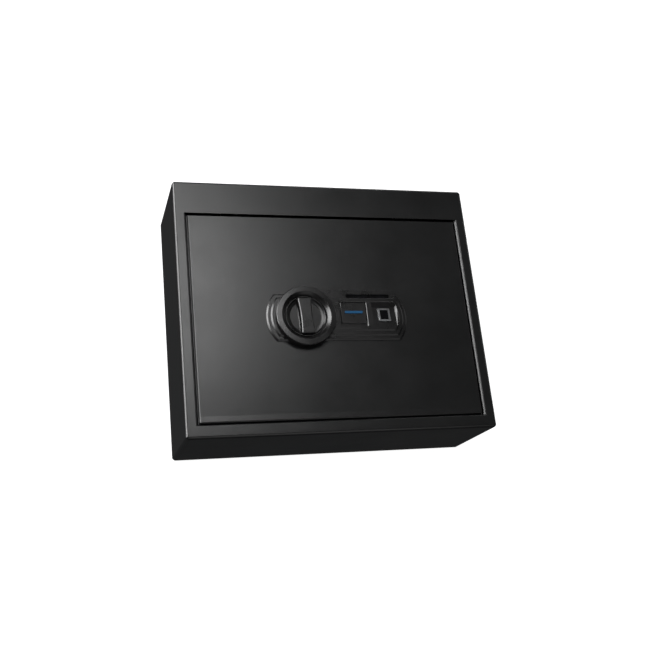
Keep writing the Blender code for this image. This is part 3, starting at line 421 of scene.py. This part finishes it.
def rounded(outline, radius, steps, sharp=math.radians(30)):
    """The outline with each corner that turns by more than sharp replaced by an arc."""
    result = []
    count = len(outline)
    for index in range(count):
        corner = Vector(outline[index])
        before = (Vector(outline[index - 1]) - corner).normalized()
        after = (Vector(outline[(index + 1) % count]) - corner).normalized()
        turn = math.pi - before.angle(after)
        if turn < sharp:
            result.append(tuple(corner))
            continue
        reach = radius * math.tan(turn / 2)
        centre = corner + (before + after).normalized() * radius / math.cos(turn / 2)
        start = corner + before * reach - centre
        side = 1.0 if before.cross(after) < 0 else -1.0
        for step in range(steps + 1):
            result.append(tuple(centre + Matrix.Rotation(side * turn * step / steps, 2) @ start))
    return result


def rounded_box_outline(low_xy, high_xy, radius, inset, steps):
    """A rounded rectangle, inset all round, with the same number of points at any inset."""
    x0, y0, x1, y1 = low_xy[0] + inset, low_xy[1] + inset, high_xy[0] - inset, high_xy[1] - inset
    corners = [(x0, y0), (x1, y0), (x1, y1), (x0, y1)]
    return rounded(corners, max(radius - inset, 0.00005), steps)


def edge_profile(bottom, top, radius, steps, foot=0.0):
    """(inset, level) pairs up a wall whose top edge is rounded by radius, and bottom by foot."""
    profile = []
    if foot:
        for step in range(steps + 1):
            angle = math.pi / 2 * step / steps
            profile.append((foot * (1 - math.sin(angle)), bottom + foot * (1 - math.cos(angle))))
    else:
        profile.append((0.0, bottom))
    for step in range(steps + 1):
        angle = math.pi / 2 * step / steps
        profile.append((radius * (1 - math.cos(angle)), top - radius * (1 - math.sin(angle))))
    return profile


def slab(name, low_xy, high_xy, corner, profile, steps=5):
    """A rounded rectangular plate raised along a profile of (inset, level)."""
    rings = [at_level(rounded_box_outline(low_xy, high_xy, corner, inset, steps), level)
             for inset, level in profile]
    return loft(name, rings)


def turned(name, profile, spot, steps, closed=False):
    """A profile of (radius, level) turned about the vertical axis at spot."""
    bm = bmesh.new()
    rows = []
    for radius, level in profile:
        if radius < 1e-7:
            rows.append([bm.verts.new((spot[0], spot[1], level))])
            continue
        ring = []
        for step in range(steps):
            angle = 2 * math.pi * step / steps
            ring.append(bm.verts.new((spot[0] + radius * math.cos(angle),
                                      spot[1] + radius * math.sin(angle), level)))
        rows.append(ring)
    pairs = list(zip(rows, rows[1:]))
    if closed:
        pairs.append((rows[-1], rows[0]))
    for first, second in pairs:
        for step in range(steps):
            after = (step + 1) % steps
            if len(first) == 1:
                bm.faces.new((first[0], second[step], second[after]))
            elif len(second) == 1:
                bm.faces.new((first[step], first[after], second[0]))
            else:
                bm.faces.new((first[step], first[after], second[after], second[step]))
    return to_object(name, bm)


def soften(points, radius, steps=4, closed=False):
    """Round the corners of a profile; an open one keeps its two ends."""
    arcs = rounded(points, radius, steps, math.radians(12))
    if closed:
        return arcs
    return [points[0]] + arcs[steps + 1:-steps - 1] + [points[-1]]


def boolean(obj, other, operation="DIFFERENCE"):
    """Apply a Boolean at once and drop the other shape."""
    modifier = obj.modifiers.new("join", "BOOLEAN")
    modifier.operation = operation
    modifier.solver = "EXACT"
    modifier.object = other
    bpy.context.view_layer.update()
    evaluated = obj.evaluated_get(bpy.context.evaluated_depsgraph_get())
    mesh = bpy.data.meshes.new_from_object(evaluated)
    obj.modifiers.clear()
    obj.data = mesh
    mesh.shade_smooth()
    mesh.set_sharp_from_angle(angle=math.radians(SMOOTH_ANGLE))
    bpy.data.objects.remove(other, do_unlink=True)


def drum_cutter(radius, spot, bottom, top, steps=64):
    """An upright cylinder, for cutting round holes."""
    return turned("cut", [(0.0, top), (radius, top), (radius, bottom), (0.0, bottom)], spot, steps)


# ---------------------------------------------------------------- camera, floor and lights

CAMERA_PLACE = (-0.2959, -0.3229, 0.9904)
CAMERA_FORWARD = (0.2870, 0.3095, -0.9066)
CAMERA_RIGHT = (0.9579, -0.0989, 0.2695)
CAMERA_LENS = 52.2
LIT_POINT = (0.0, 0.0, 0.08)
FLOOR_GLOW = 1.08
FILL = 0.045
LIGHTS = (  # name, place, size, watts
    ("softbox_low", (-2.15, 0.78, 0.68), (2.0, 0.8), 44.0),
    ("softbox_high", (-0.136, 0.507, 1.378), (0.55, 0.55), 4.6),
    ("softbox_right", (1.271, 0.463, 0.442), (0.55, 0.55), 1.2),
    ("softbox_front", (0.22, -1.22, 0.72), (0.9, 0.5), 0.9),
    ("softbox_back", (0.80, 1.90, 0.20), (1.4, 0.3), 3.5),
)


def set_camera():
    """The photograph's camera: above the front left corner, rolled a little."""
    data = bpy.data.cameras.new("camera")
    data.sensor_width = 36.0
    data.lens = CAMERA_LENS
    data.clip_start = 0.01
    camera = bpy.data.objects.new("camera", data)
    bpy.context.scene.collection.objects.link(camera)
    forward = Vector(CAMERA_FORWARD).normalized()
    right = Vector(CAMERA_RIGHT)
    right = (right - right.dot(forward) * forward).normalized()
    up = right.cross(forward)
    turn = Matrix((right, up, -forward)).transposed()
    camera.matrix_world = Matrix.Translation(CAMERA_PLACE) @ turn.to_4x4()
    bpy.context.scene.camera = camera


def set_floor():
    """A pale floor that glows faintly, like a light table, and that the object doesn't mirror."""
    bm = bmesh.new()
    bmesh.ops.create_grid(bm, x_segments=2, y_segments=2, size=4.0)
    floor = to_object("floor", bm)
    floor.location = (0.0, 0.0, -0.0005)
    material, tree, shader = new_material("pale_floor")
    coords = object_coords(tree)
    tint = mix_colour(tree, noise_tex(tree, coords, 3.0), (0.86, 0.86, 0.86), (0.90, 0.90, 0.90))
    tree.links.new(tint, shader.inputs["Base Color"])
    tree.links.new(tint, shader.inputs["Emission Color"])
    shader.inputs["Emission Strength"].default_value = FLOOR_GLOW
    shader.inputs["Roughness"].default_value = 0.9
    shader.inputs["Specular IOR Level"].default_value = 0.1
    floor.data.materials.append(material)
    floor.visible_diffuse = False
    floor.visible_glossy = False


def area_light(name, place, size, power):
    """A soft rectangular lamp aimed at the safe."""
    data = bpy.data.lights.new(name, "AREA")
    data.shape = "RECTANGLE"
    data.size, data.size_y = size
    data.energy = power
    light = bpy.data.objects.new(name, data)
    bpy.context.scene.collection.objects.link(light)
    light.location = place
    aim = Vector(LIT_POINT) - Vector(place)
    light.rotation_euler = aim.to_track_quat("-Z", "Y").to_euler()


def set_world():
    """Dim, even surroundings, which look white where the floor ends."""
    world = bpy.data.worlds.new("studio")
    world.use_nodes = True
    tree = world.node_tree
    dim = tree.nodes["Background"]
    dim.inputs["Color"].default_value = (0.96, 0.98, 1.0, 1.0)
    dim.inputs["Strength"].default_value = FILL
    white = tree.nodes.new("ShaderNodeBackground")
    white.inputs["Color"].default_value = (1.0, 1.0, 1.0, 1.0)
    mix = tree.nodes.new("ShaderNodeMixShader")
    tree.links.new(tree.nodes.new("ShaderNodeLightPath").outputs["Is Camera Ray"], mix.inputs[0])
    tree.links.new(dim.outputs[0], mix.inputs[1])
    tree.links.new(white.outputs[0], mix.inputs[2])
    tree.links.new(mix.outputs[0], tree.nodes["World Output"].inputs["Surface"])
    bpy.context.scene.world = world


def set_lights():
    set_world()
    for name, place, size, power in LIGHTS:
        area_light(name, place, size, power)


def set_view():
    """Plain colour handling, so that the white ground stays white."""
    settings = bpy.context.scene.view_settings
    settings.view_transform = "Standard"
    settings.look = "None"
    settings.exposure = 0.0
    settings.gamma = 1.0


# ---------------------------------------------------------------- case

SHEET = 0.002
BEND = 0.0028
BEND_SHAPE = 0.36
SMALL_BEND = 0.0006
LID_GAP = 0.002
LEDGE = 0.010
LEDGE_TOP = SHELL_HIGH.z - 0.0055
REVEAL_OUT = 0.0014
REVEAL_OUT_FRONT = 0.0006
REVEAL_IN = 0.0006
REVEAL_DROP = 0.0024
FRONT_SAG = 0.0004
OPEN_X = LID_HIGH.x + LID_GAP
OPEN_FRONT = LID_LOW.y - LID_GAP
OPEN_REAR = LID_HIGH.y + LID_GAP
LID_CORNER = 0.0006
LID_CHAMFER = 0.0010
LID_FOOT = 0.0004
LIP_WIDE = 0.0065
LIP_RISE = 0.00025
LOCK_HOLE_R = 0.0075
SENSOR_HOLE_R = 0.004


def frame_faces(bm):
    """The frame round the opening, with a square rear band. Returns the three edges to fold."""
    top = next(f for f in bm.faces if f.normal.z > 0.5)
    bmesh.ops.inset_individual(bm, faces=[top], thickness=0.02)
    for vert in top.verts:
        vert.co.x = math.copysign(OPEN_X + REVEAL_OUT, vert.co.x)
        if vert.co.y < 0:
            vert.co.z -= FRONT_SAG
        vert.co.y = OPEN_FRONT - REVEAL_OUT_FRONT if vert.co.y < 0 else OPEN_REAR
    corners = [v for v in top.verts if v.co.y > 0]
    fold = [e for e in top.edges if min(v.co.y for v in e.verts) < OPEN_REAR - 0.001]
    bmesh.ops.delete(bm, geom=[top], context="FACES_ONLY")
    for corner in corners:
        side = math.copysign(1.0, corner.co.x)
        outer = next(e for e in bm.edges if all(abs(v.co.x - side * SHELL_HIGH.x) < 0.0001
                                                and v.co.z > 0.05 for v in e.verts))
        front = min(outer.verts, key=lambda v: v.co.y)
        share = (OPEN_REAR - front.co.y) / outer.calc_length()
        made = bmesh.utils.edge_split(outer, front, share)[1]
        slant = next(e for e in corner.link_edges
                     if e.other_vert(corner).co.y > OPEN_REAR + 0.01)
        bmesh.ops.connect_verts(bm, verts=[corner, made])
        bmesh.ops.dissolve_edges(bm, edges=[slant], use_verts=False)
    return fold


def folded(bm, edges, sideways, forward, level):
    """Fold a strip on from the edges: in from the sides and from the front, down to level."""
    geom = bmesh.ops.extrude_edge_only(bm, edges=edges)["geom"]
    for vert in [g for g in geom if isinstance(g, bmesh.types.BMVert)]:
        vert.co.x -= math.copysign(sideways, vert.co.x)
        if vert.co.y < 0:
            vert.co.y += forward
        vert.co.z = level
    return [g for g in geom if isinstance(g, bmesh.types.BMEdge)
            and all(v in geom for v in g.verts)]


def case_shell():
    """Walls, frame, leaning reveal, jamb and ledge in one folded sheet, with smooth bends."""
    bm = bmesh.new()
    size = SHELL_HIGH - SHELL_LOW
    bmesh.ops.create_cube(bm, size=1.0)
    bmesh.ops.scale(bm, vec=size, verts=bm.verts)
    bmesh.ops.translate(bm, vec=(0.0, 0.0, size.z / 2), verts=bm.verts)
    bmesh.ops.delete(bm, geom=[f for f in bm.faces if f.normal.z < -0.5], context="FACES_ONLY")
    fold = frame_faces(bm)
    reveal = folded(bm, fold, REVEAL_OUT + REVEAL_IN, REVEAL_OUT_FRONT + REVEAL_IN,
                    size.z - REVEAL_DROP)
    jamb = folded(bm, reveal, 0.0, 0.0, LEDGE_TOP)
    folded(bm, jamb, LEDGE - REVEAL_IN, LEDGE - REVEAL_IN, LEDGE_TOP)
    bmesh.ops.recalc_face_normals(bm, faces=bm.faces)
    outer = [e for e in bm.edges if len(e.link_faces) == 2 and e.calc_face_angle() > 1.0
             and all(max(abs(v.co.x) - size.x / 2, abs(v.co.y) - size.y / 2) > -0.0001
                     for v in e.verts)]
    bmesh.ops.bevel(bm, geom=outer, offset=BEND, segments=8, profile=BEND_SHAPE, affect="EDGES",
                    clamp_overlap=True)
    bends = [e for e in bm.edges if len(e.link_faces) == 2 and e.calc_face_angle() > 0.5]
    bmesh.ops.bevel(bm, geom=bends, offset=SMALL_BEND, segments=4, profile=0.5, affect="EDGES",
                    clamp_overlap=True)
    obj = to_object("case_shell", bm, 40.0)
    solidify = obj.modifiers.new("sheet", "SOLIDIFY")
    solidify.thickness = SHEET
    solidify.offset = -1.0
    solidify.use_even_offset = True
    solidify.use_quality_normals = True
    stand_in(obj, "outer_shell")


def raise_lip(obj):
    """Lift the lid's front margin by a hair, as the pressed plate springs back there."""
    start = LID_LOW.y + LIP_WIDE
    bm = bmesh.new()
    bm.from_mesh(obj.data)
    cut = bmesh.ops.bisect_plane(bm, geom=bm.verts[:] + bm.edges[:] + bm.faces[:], dist=0.00001,
                                 plane_co=(0.0, start, 0.0), plane_no=(0.0, 1.0, 0.0))["geom_cut"]
    for vert in bm.verts:
        if vert.co.z > LID_TOP - 0.002 and vert.co.y < start:
            vert.co.z += LIP_RISE * (start - vert.co.y) / LIP_WIDE
    for edge in [g for g in cut if isinstance(g, bmesh.types.BMEdge)]:
        edge.smooth = False
    bm.to_mesh(obj.data)
    bm.free()


def lid_skin():
    """The lid plate, with its chamfered edge and its three holes."""
    profile = soften([(LID_FOOT, LID_LOW.z), (0.0, LID_LOW.z + LID_FOOT),
                      (0.0, LID_TOP - LID_CHAMFER), (LID_CHAMFER, LID_TOP),
                      (LID_CHAMFER + 0.0006, LID_TOP)], 0.0003, 3)
    obj = slab("lid_skin", LID_LOW.xy, LID_HIGH.xy, LID_CORNER, profile)
    for radius, spot in ((LOCK_HOLE_R, KNOB), (LOCK_HOLE_R, KEY), (SENSOR_HOLE_R, SENSOR.xy)):
        boolean(obj, drum_cutter(radius, spot, LID_LOW.z - 0.001, LID_TOP + 0.001))
    raise_lip(obj)
    stand_in(obj, "lid_plate")


# ---------------------------------------------------------------- lock panel

PANEL_HALF_DEPTH = 0.02575
PANEL_CENTRE = Vector((middle("lock_panel").x, PANEL_LOW.y + PANEL_HALF_DEPTH))
PANEL_HALF = Vector(((PANEL_HIGH.x - PANEL_LOW.x) / 2, PANEL_HALF_DEPTH))
PANEL_REAR = PANEL_CENTRE.y + PANEL_HALF.y
PANEL_BOW = 0.0095
PANEL_BOW_STEPS = 12
PANEL_CORNER = 0.0024
PANEL_STEPS = ((0.0, 0.0), (0.0, 0.0004), (0.0016, 0.0020), (0.0044, 0.0020), (0.0060, 0.0036),
               (0.0092, 0.0036), (0.0108, 0.0052), (0.0114, 0.0052))  # inset, level
STEP_SOFT = 0.0004
KNOB_HOLE_R = KNOB_R + 0.0008
RING_R = (high("ring_bezel").y - low("ring_bezel").y) / 2
RING_TOP = high("ring_bezel").z
RING_WALL_R = 0.0292
RING_CREST_R = 0.0262
RING_CONE_R = 0.0232
RING_CLEAR = 0.0002
BROW_LEFT = KNOB.x + 0.014
BROW_RIGHT = 0.0635
BROW_FRONT = PANEL_REAR - 0.012
BROW_CORNER = 0.0034
BROW_TOP = PANEL_BASE + 0.0032
LIGHT_MARGIN = 0.0003
LIGHT_FLARE = 0.0003
POCKET_FRONT = 0.0150
POCKET_REAR = 0.0119
POCKET_HALF = 0.0147
POCKET_FOOT = 0.0003
POCKET_FLARE = 0.0006
KEY_FLOOR = PANEL_TOP - 0.0020
CABLE_HOLE_R = 0.0035
PANEL_LIP = 0.00022
SCOOP_LEFT = 0.0385
SCOOP_RIGHT = 0.0648
SCOOP_FRONT = -0.0265
SCOOP_REAR = 0.0005
SCOOP_DEEP = 0.0038
SCOOP_SLOPE = SCOOP_DEEP / (SCOOP_REAR - SCOOP_FRONT)
LEFT_LEAN = 0.32
RIGHT_LEAN = 0.98
REAR_LEAN = 1.7
REAR_RUN = 0.0050
CLEAR_BELOW = 0.002
CLEAR_ABOVE = 0.004


def panel_outline(inset):
    """The lock panel's outline: straight long edges, ends bowed outward."""
    half_y = PANEL_HALF.y - inset
    bow_r = (PANEL_HALF.y ** 2 + PANEL_BOW ** 2) / (2 * PANEL_BOW)
    centre_x = PANEL_HALF.x - bow_r
    sweep = math.asin(half_y / (bow_r - inset))
    outline = []
    for side in (1, -1):
        for step in range(PANEL_BOW_STEPS + 1):
            angle = sweep * (2 * step / PANEL_BOW_STEPS - 1)
            x = centre_x + (bow_r - inset) * math.cos(angle)
            y = (bow_r - inset) * math.sin(angle)
            outline.append((PANEL_CENTRE.x + side * x, PANEL_CENTRE.y + side * y))
    return rounded(outline, PANEL_CORNER, 5)


def stepped_profile():
    """(inset, level) pairs up the panel's three steps: leaning walls between soft corners."""
    return [(inset, PANEL_BASE + level) for inset, level in soften(PANEL_STEPS, STEP_SOFT)]


def panel_body(grow=0.0):
    """The stepped body, or a slightly larger one for cutting what sits on it."""
    return loft("lock_panel_skin", [at_level(panel_outline(inset - grow), level + grow)
                                    for inset, level in stepped_profile()])


def flared_cutter(low_xy, high_xy, corner, floor, flare):
    """A pocket cutter whose mouth leans out by flare, for a bevelled edge round the pocket."""
    profile = [(POCKET_FOOT, floor), (0.3 * POCKET_FOOT, floor + 0.3 * POCKET_FOOT),
               (0.0, floor + POCKET_FOOT), (0.0, PANEL_TOP - flare), (-flare, PANEL_TOP),
               (-flare - 0.0002, PANEL_TOP + CLEAR_ABOVE)]
    return slab("cut", low_xy, high_xy, corner, profile)


def scoop_cutter():
    """The finger scoop: a floor that slopes down to the rear, between leaning walls."""
    front, rear = SCOOP_FRONT - 0.0008, SCOOP_REAR - REAR_RUN
    mouth = PANEL_TOP + CLEAR_ABOVE
    floor_ring, mouth_ring = [], []
    for x, lean, y, back in ((SCOOP_LEFT, -LEFT_LEAN, front, 0.0),
                             (SCOOP_RIGHT, RIGHT_LEAN, front, 0.0),
                             (SCOOP_RIGHT, RIGHT_LEAN, rear, REAR_LEAN),
                             (SCOOP_LEFT, -LEFT_LEAN, rear, REAR_LEAN)):
        floor = PANEL_TOP - (y - SCOOP_FRONT) * SCOOP_SLOPE
        floor_ring.append((x, y, floor))
        mouth_ring.append((x + lean * (mouth - floor), y + back * (mouth - floor), mouth))
    return loft("cut", [floor_ring, mouth_ring])


def brow():
    """The low brow over the status light, which runs out from under the ring."""
    obj = slab("brow", (BROW_LEFT, BROW_FRONT), (BROW_RIGHT, PANEL_HIGH.y), BROW_CORNER,
               edge_profile(PANEL_BASE + 0.0001, BROW_TOP, 0.0003, 3), 8)
    boolean(obj, drum_cutter(RING_R + 0.0006, KNOB, PANEL_BASE - CLEAR_BELOW, RING_TOP, 128))
    return obj


def panel():
    """Stepped panel with its brow over the status light, pockets, scoop and knob hole."""
    obj = panel_body()
    boolean(obj, brow(), "UNION")
    boolean(obj, flared_cutter((LIGHT_LOW.x - LIGHT_MARGIN, LIGHT_LOW.y - LIGHT_MARGIN),
                               (LIGHT_HIGH.x + LIGHT_MARGIN, LIGHT_HIGH.y + LIGHT_MARGIN), 0.0016,
                               LIGHT_LOW.z - LIGHT_MARGIN, LIGHT_FLARE))
    boolean(obj, drum_cutter(KNOB_HOLE_R, KNOB, PANEL_BASE - CLEAR_BELOW,
                             PANEL_TOP + CLEAR_BELOW, 128))
    boolean(obj, flared_cutter((KEY.x - POCKET_HALF, KEY.y - POCKET_FRONT),
                               (KEY.x + POCKET_HALF, KEY.y + POCKET_REAR), 0.0010, KEY_FLOOR,
                               POCKET_FLARE))
    boolean(obj, drum_cutter(LOCK_HOLE_R, KEY, PANEL_BASE - CLEAR_BELOW, KEY_FLOOR + 0.001))
    boolean(obj, scoop_cutter())
    boolean(obj, drum_cutter(CABLE_HOLE_R, SENSOR.xy, PANEL_BASE - CLEAR_BELOW, PANEL_TOP))
    lip = obj.modifiers.new("lip", "BEVEL")
    lip.width = PANEL_LIP
    lip.segments = 3
    lip.limit_method = "ANGLE"
    lip.angle_limit = math.radians(50)
    lip.use_clamp_overlap = True
    stand_in(obj, "lock_panel")


def ring():
    """The raised ring: flat crest, upright wall and a hollow cone, seated on the steps."""
    outline = [(RING_CREST_R, RING_TOP), (RING_R - 0.0003, RING_TOP - 0.0003),
               (RING_R + 0.0003, RING_TOP - 0.0009), (RING_R + 0.0003, PANEL_BASE),
               (RING_WALL_R, PANEL_BASE), (RING_WALL_R, PANEL_TOP + 0.0003),
               (KNOB_HOLE_R, PANEL_TOP + 0.0003),
               (KNOB_HOLE_R, PANEL_TOP + 0.0012), (RING_CONE_R, PANEL_TOP + 0.0013)]
    obj = turned("knob_ring", soften(outline, 0.0004, 4, True), KNOB, 160, True)
    boolean(obj, panel_body(RING_CLEAR))
    stand_in(obj, "ring_bezel")


KNOB_FLOOR = PANEL_BASE + 0.0034
KNOB_SHELF = KNOB_FLOOR + 0.0004
KNOB_RIM = PANEL_TOP + 0.0006
KNOB_RIM_WIDE = 0.0008
KNOB_TILT = math.radians(2.5)
GRIP_HALF_LONG = 0.0200
GRIP_WAIST = 0.0070
GRIP_FLARE = 0.0011
GRIP_CORNER = 0.0016
GRIP_FOOT = 0.0009
GRIP_CROWN = 0.0008
GRIP_ROWS = 16
BORE_R = 0.0042
BORE_TOP = GRIP_TOP - 0.0025


def grip_outline(inset):
    """The grip seen from above: narrowest at its waist, and turned by the knob's tilt."""
    right = []
    for row in range(GRIP_ROWS + 1):
        t = 2 * row / GRIP_ROWS - 1
        right.append((GRIP_WAIST + GRIP_FLARE * t * t - inset, (GRIP_HALF_LONG - inset) * t))
    outline = right + [(-x, -y) for x, y in right]
    corner = max(GRIP_CORNER - inset, 0.0003)
    turn = Matrix.Rotation(KNOB_TILT, 2)
    return [tuple(turn @ Vector(point) + KNOB) for point in rounded(outline, corner, 5)]


def knob():
    """A shallow bowl with a thin rim, and a waisted grip right across it."""
    bowl_r = KNOB_R - KNOB_RIM_WIDE
    bowl = soften([(0.77 * bowl_r, KNOB_FLOOR), (0.80 * bowl_r, KNOB_FLOOR),
                   (0.80 * bowl_r + 0.0004, KNOB_SHELF), (0.93 * bowl_r, KNOB_SHELF + 0.0006),
                   (bowl_r, KNOB_RIM - 0.0002), (bowl_r + 0.0001, KNOB_RIM)], 0.0005, 4)
    wall = [(KNOB_R - 0.0002, KNOB_RIM), (KNOB_R, KNOB_RIM - 0.0003), (KNOB_R, KNOB_BOTTOM),
            (0.0, KNOB_BOTTOM)]
    obj = turned("turn_knob", [(0.0, KNOB_FLOOR)] + bowl + wall, KNOB, 160)
    height = GRIP_TOP - KNOB_FLOOR
    stages = soften([(-GRIP_FOOT - 0.0001, -0.0008), (-GRIP_FOOT, 0.0), (0.0, GRIP_FOOT),
                     (0.0009, height - GRIP_CROWN), (0.0009 + GRIP_CROWN, height),
                     (0.0016 + GRIP_CROWN, height)], 0.0003, 3)
    rings = [at_level(grip_outline(inset), KNOB_FLOOR + lift) for inset, lift in stages]
    boolean(obj, loft("grip", rings), "UNION")
    boolean(obj, drum_cutter(BORE_R, KNOB, KNOB_BOTTOM - 0.001, BORE_TOP))
    stand_in(obj, "knob")


COVER_SINK = 0.0006
BAR_WIDER = 0.0004


def cover():
    """Pull-off key cover with a chamfered edge, and the plain blue bar on it."""
    top = COVER_HIGH.z - COVER_SINK
    profile = soften([(0.0, COVER_LOW.z), (0.0, top - 0.0010), (0.0010, top), (0.0015, top)],
                     0.0002, 3)
    stand_in(slab("key_cover_skin", COVER_LOW.xy, COVER_HIGH.xy, 0.0010, profile), "key_cover")
    bar = slab("blue_bar", (BAR_LOW.x, BAR_LOW.y - BAR_WIDER),
               (BAR_HIGH.x, BAR_HIGH.y + BAR_WIDER), 0.0010,
               edge_profile(BAR_LOW.z, BAR_HIGH.z - COVER_SINK, 0.0001, 3))
    stand_in(bar, "cover_bar")


SENSOR_HALF = (0.0065, 0.0075)
SENSOR_RIM = 0.0019
SENSOR_UNDER = 0.0003


def sensor_plate(name, inset, corner, profile):
    """A plate centred on the origin, inset all round from the sensor frame's outline."""
    x, y = SENSOR_HALF[0] - inset, SENSOR_HALF[1] - inset
    return slab(name, (-x, -y), (x, y), corner, profile)


def sensor():
    """Thin metal frame with fine edges, and the black window in it, flat on the scoop's floor."""
    bezel = sensor_plate("sensor_frame", 0.0, 0.0009,
                         edge_profile(SENSOR_UNDER, 0.0014, 0.0002, 3, 0.0001))
    boolean(bezel, sensor_plate("cut", SENSOR_RIM, 0.0005, [(0.0, -0.001), (0.0, 0.002)]))
    glass = sensor_plate("sensor_glass_plate", SENSOR_RIM + 0.0001, 0.0005,
                         edge_profile(SENSOR_UNDER, 0.0010, 0.0001, 2))
    floor = PANEL_TOP - (SENSOR.y - SCOOP_FRONT) * SCOOP_SLOPE
    seat = Matrix.Translation((SENSOR.x, SENSOR.y, floor))
    seat = seat @ Matrix.Rotation(-math.atan(SCOOP_SLOPE), 4, "X")
    for obj, replaced in ((bezel, "sensor_bezel"), (glass, "sensor_window")):
        obj.data.transform(seat)
        stand_in(obj, replaced)


# ---------------------------------------------------------------- inside

MAT_CELLS = (160, 132)
MAT_SOFT_DEEP = 0.0012
MAT_SOFT_WIDE = 0.0030
MAT_RIPPLE = 0.00022
PLUG_HOLE_R = 0.009


def mat():
    """Foam mat with a soft edge, a slightly uneven top and a hole over each anchor plug."""
    bm = bmesh.new()
    cells_x, cells_y = MAT_CELLS
    grid = []
    for j in range(cells_y + 1):
        row = []
        for i in range(cells_x + 1):
            x = MAT_LOW.x + (MAT_HIGH.x - MAT_LOW.x) * (i / cells_x)
            y = MAT_LOW.y + (MAT_HIGH.y - MAT_LOW.y) * (j / cells_y)
            edge = min(x - MAT_LOW.x, MAT_HIGH.x - x, y - MAT_LOW.y, MAT_HIGH.y - y)
            soft = MAT_SOFT_DEEP * max(0.0, 1 - edge / MAT_SOFT_WIDE) ** 2
            ripple = MAT_RIPPLE * (noise.noise(Vector((x, y, 0.0)) * 70.0) - 0.6)
            row.append(bm.verts.new((x, y, MAT_HIGH.z - soft + ripple)))
        grid.append(row)
    for j in range(cells_y):
        for i in range(cells_x):
            bm.faces.new((grid[j][i], grid[j][i + 1], grid[j + 1][i + 1], grid[j + 1][i]))
    border = [e for e in bm.edges if e.is_boundary]
    skirt = bmesh.ops.extrude_edge_only(bm, edges=border)["geom"]
    rim = [g for g in skirt if isinstance(g, bmesh.types.BMVert)]
    for vert in rim:
        vert.co.z = MAT_LOW.z
    bmesh.ops.contextual_create(bm, geom=[g for g in skirt if isinstance(g, bmesh.types.BMEdge)
                                          and all(v in rim for v in g.verts)])
    obj = to_object("foam_mat", bm, 50.0)
    for number in range(1, 5):
        spot = middle(f"anchor_plug_{number}").xy
        boolean(obj, drum_cutter(PLUG_HOLE_R, spot, MAT_LOW.z - 0.001, MAT_HIGH.z + 0.001, 48))
    stand_in(obj, "floor_mat")


def carried_over():
    """Every CAD node that keeps its shape gets its slot's material, matt on inner plastics."""
    for name, obj in NODES.items():
        if not obj.hide_render:
            dress(obj, "housing_plastic" if name in INNER_PLASTIC else SLOT_OF[name])


# ---------------------------------------------------------------- the scene

set_view()
set_camera()
set_floor()
set_lights()
case_shell()
lid_skin()
panel()
ring()
knob()
cover()
sensor()
mat()
carried_over()

bpy.context.view_layer.update()
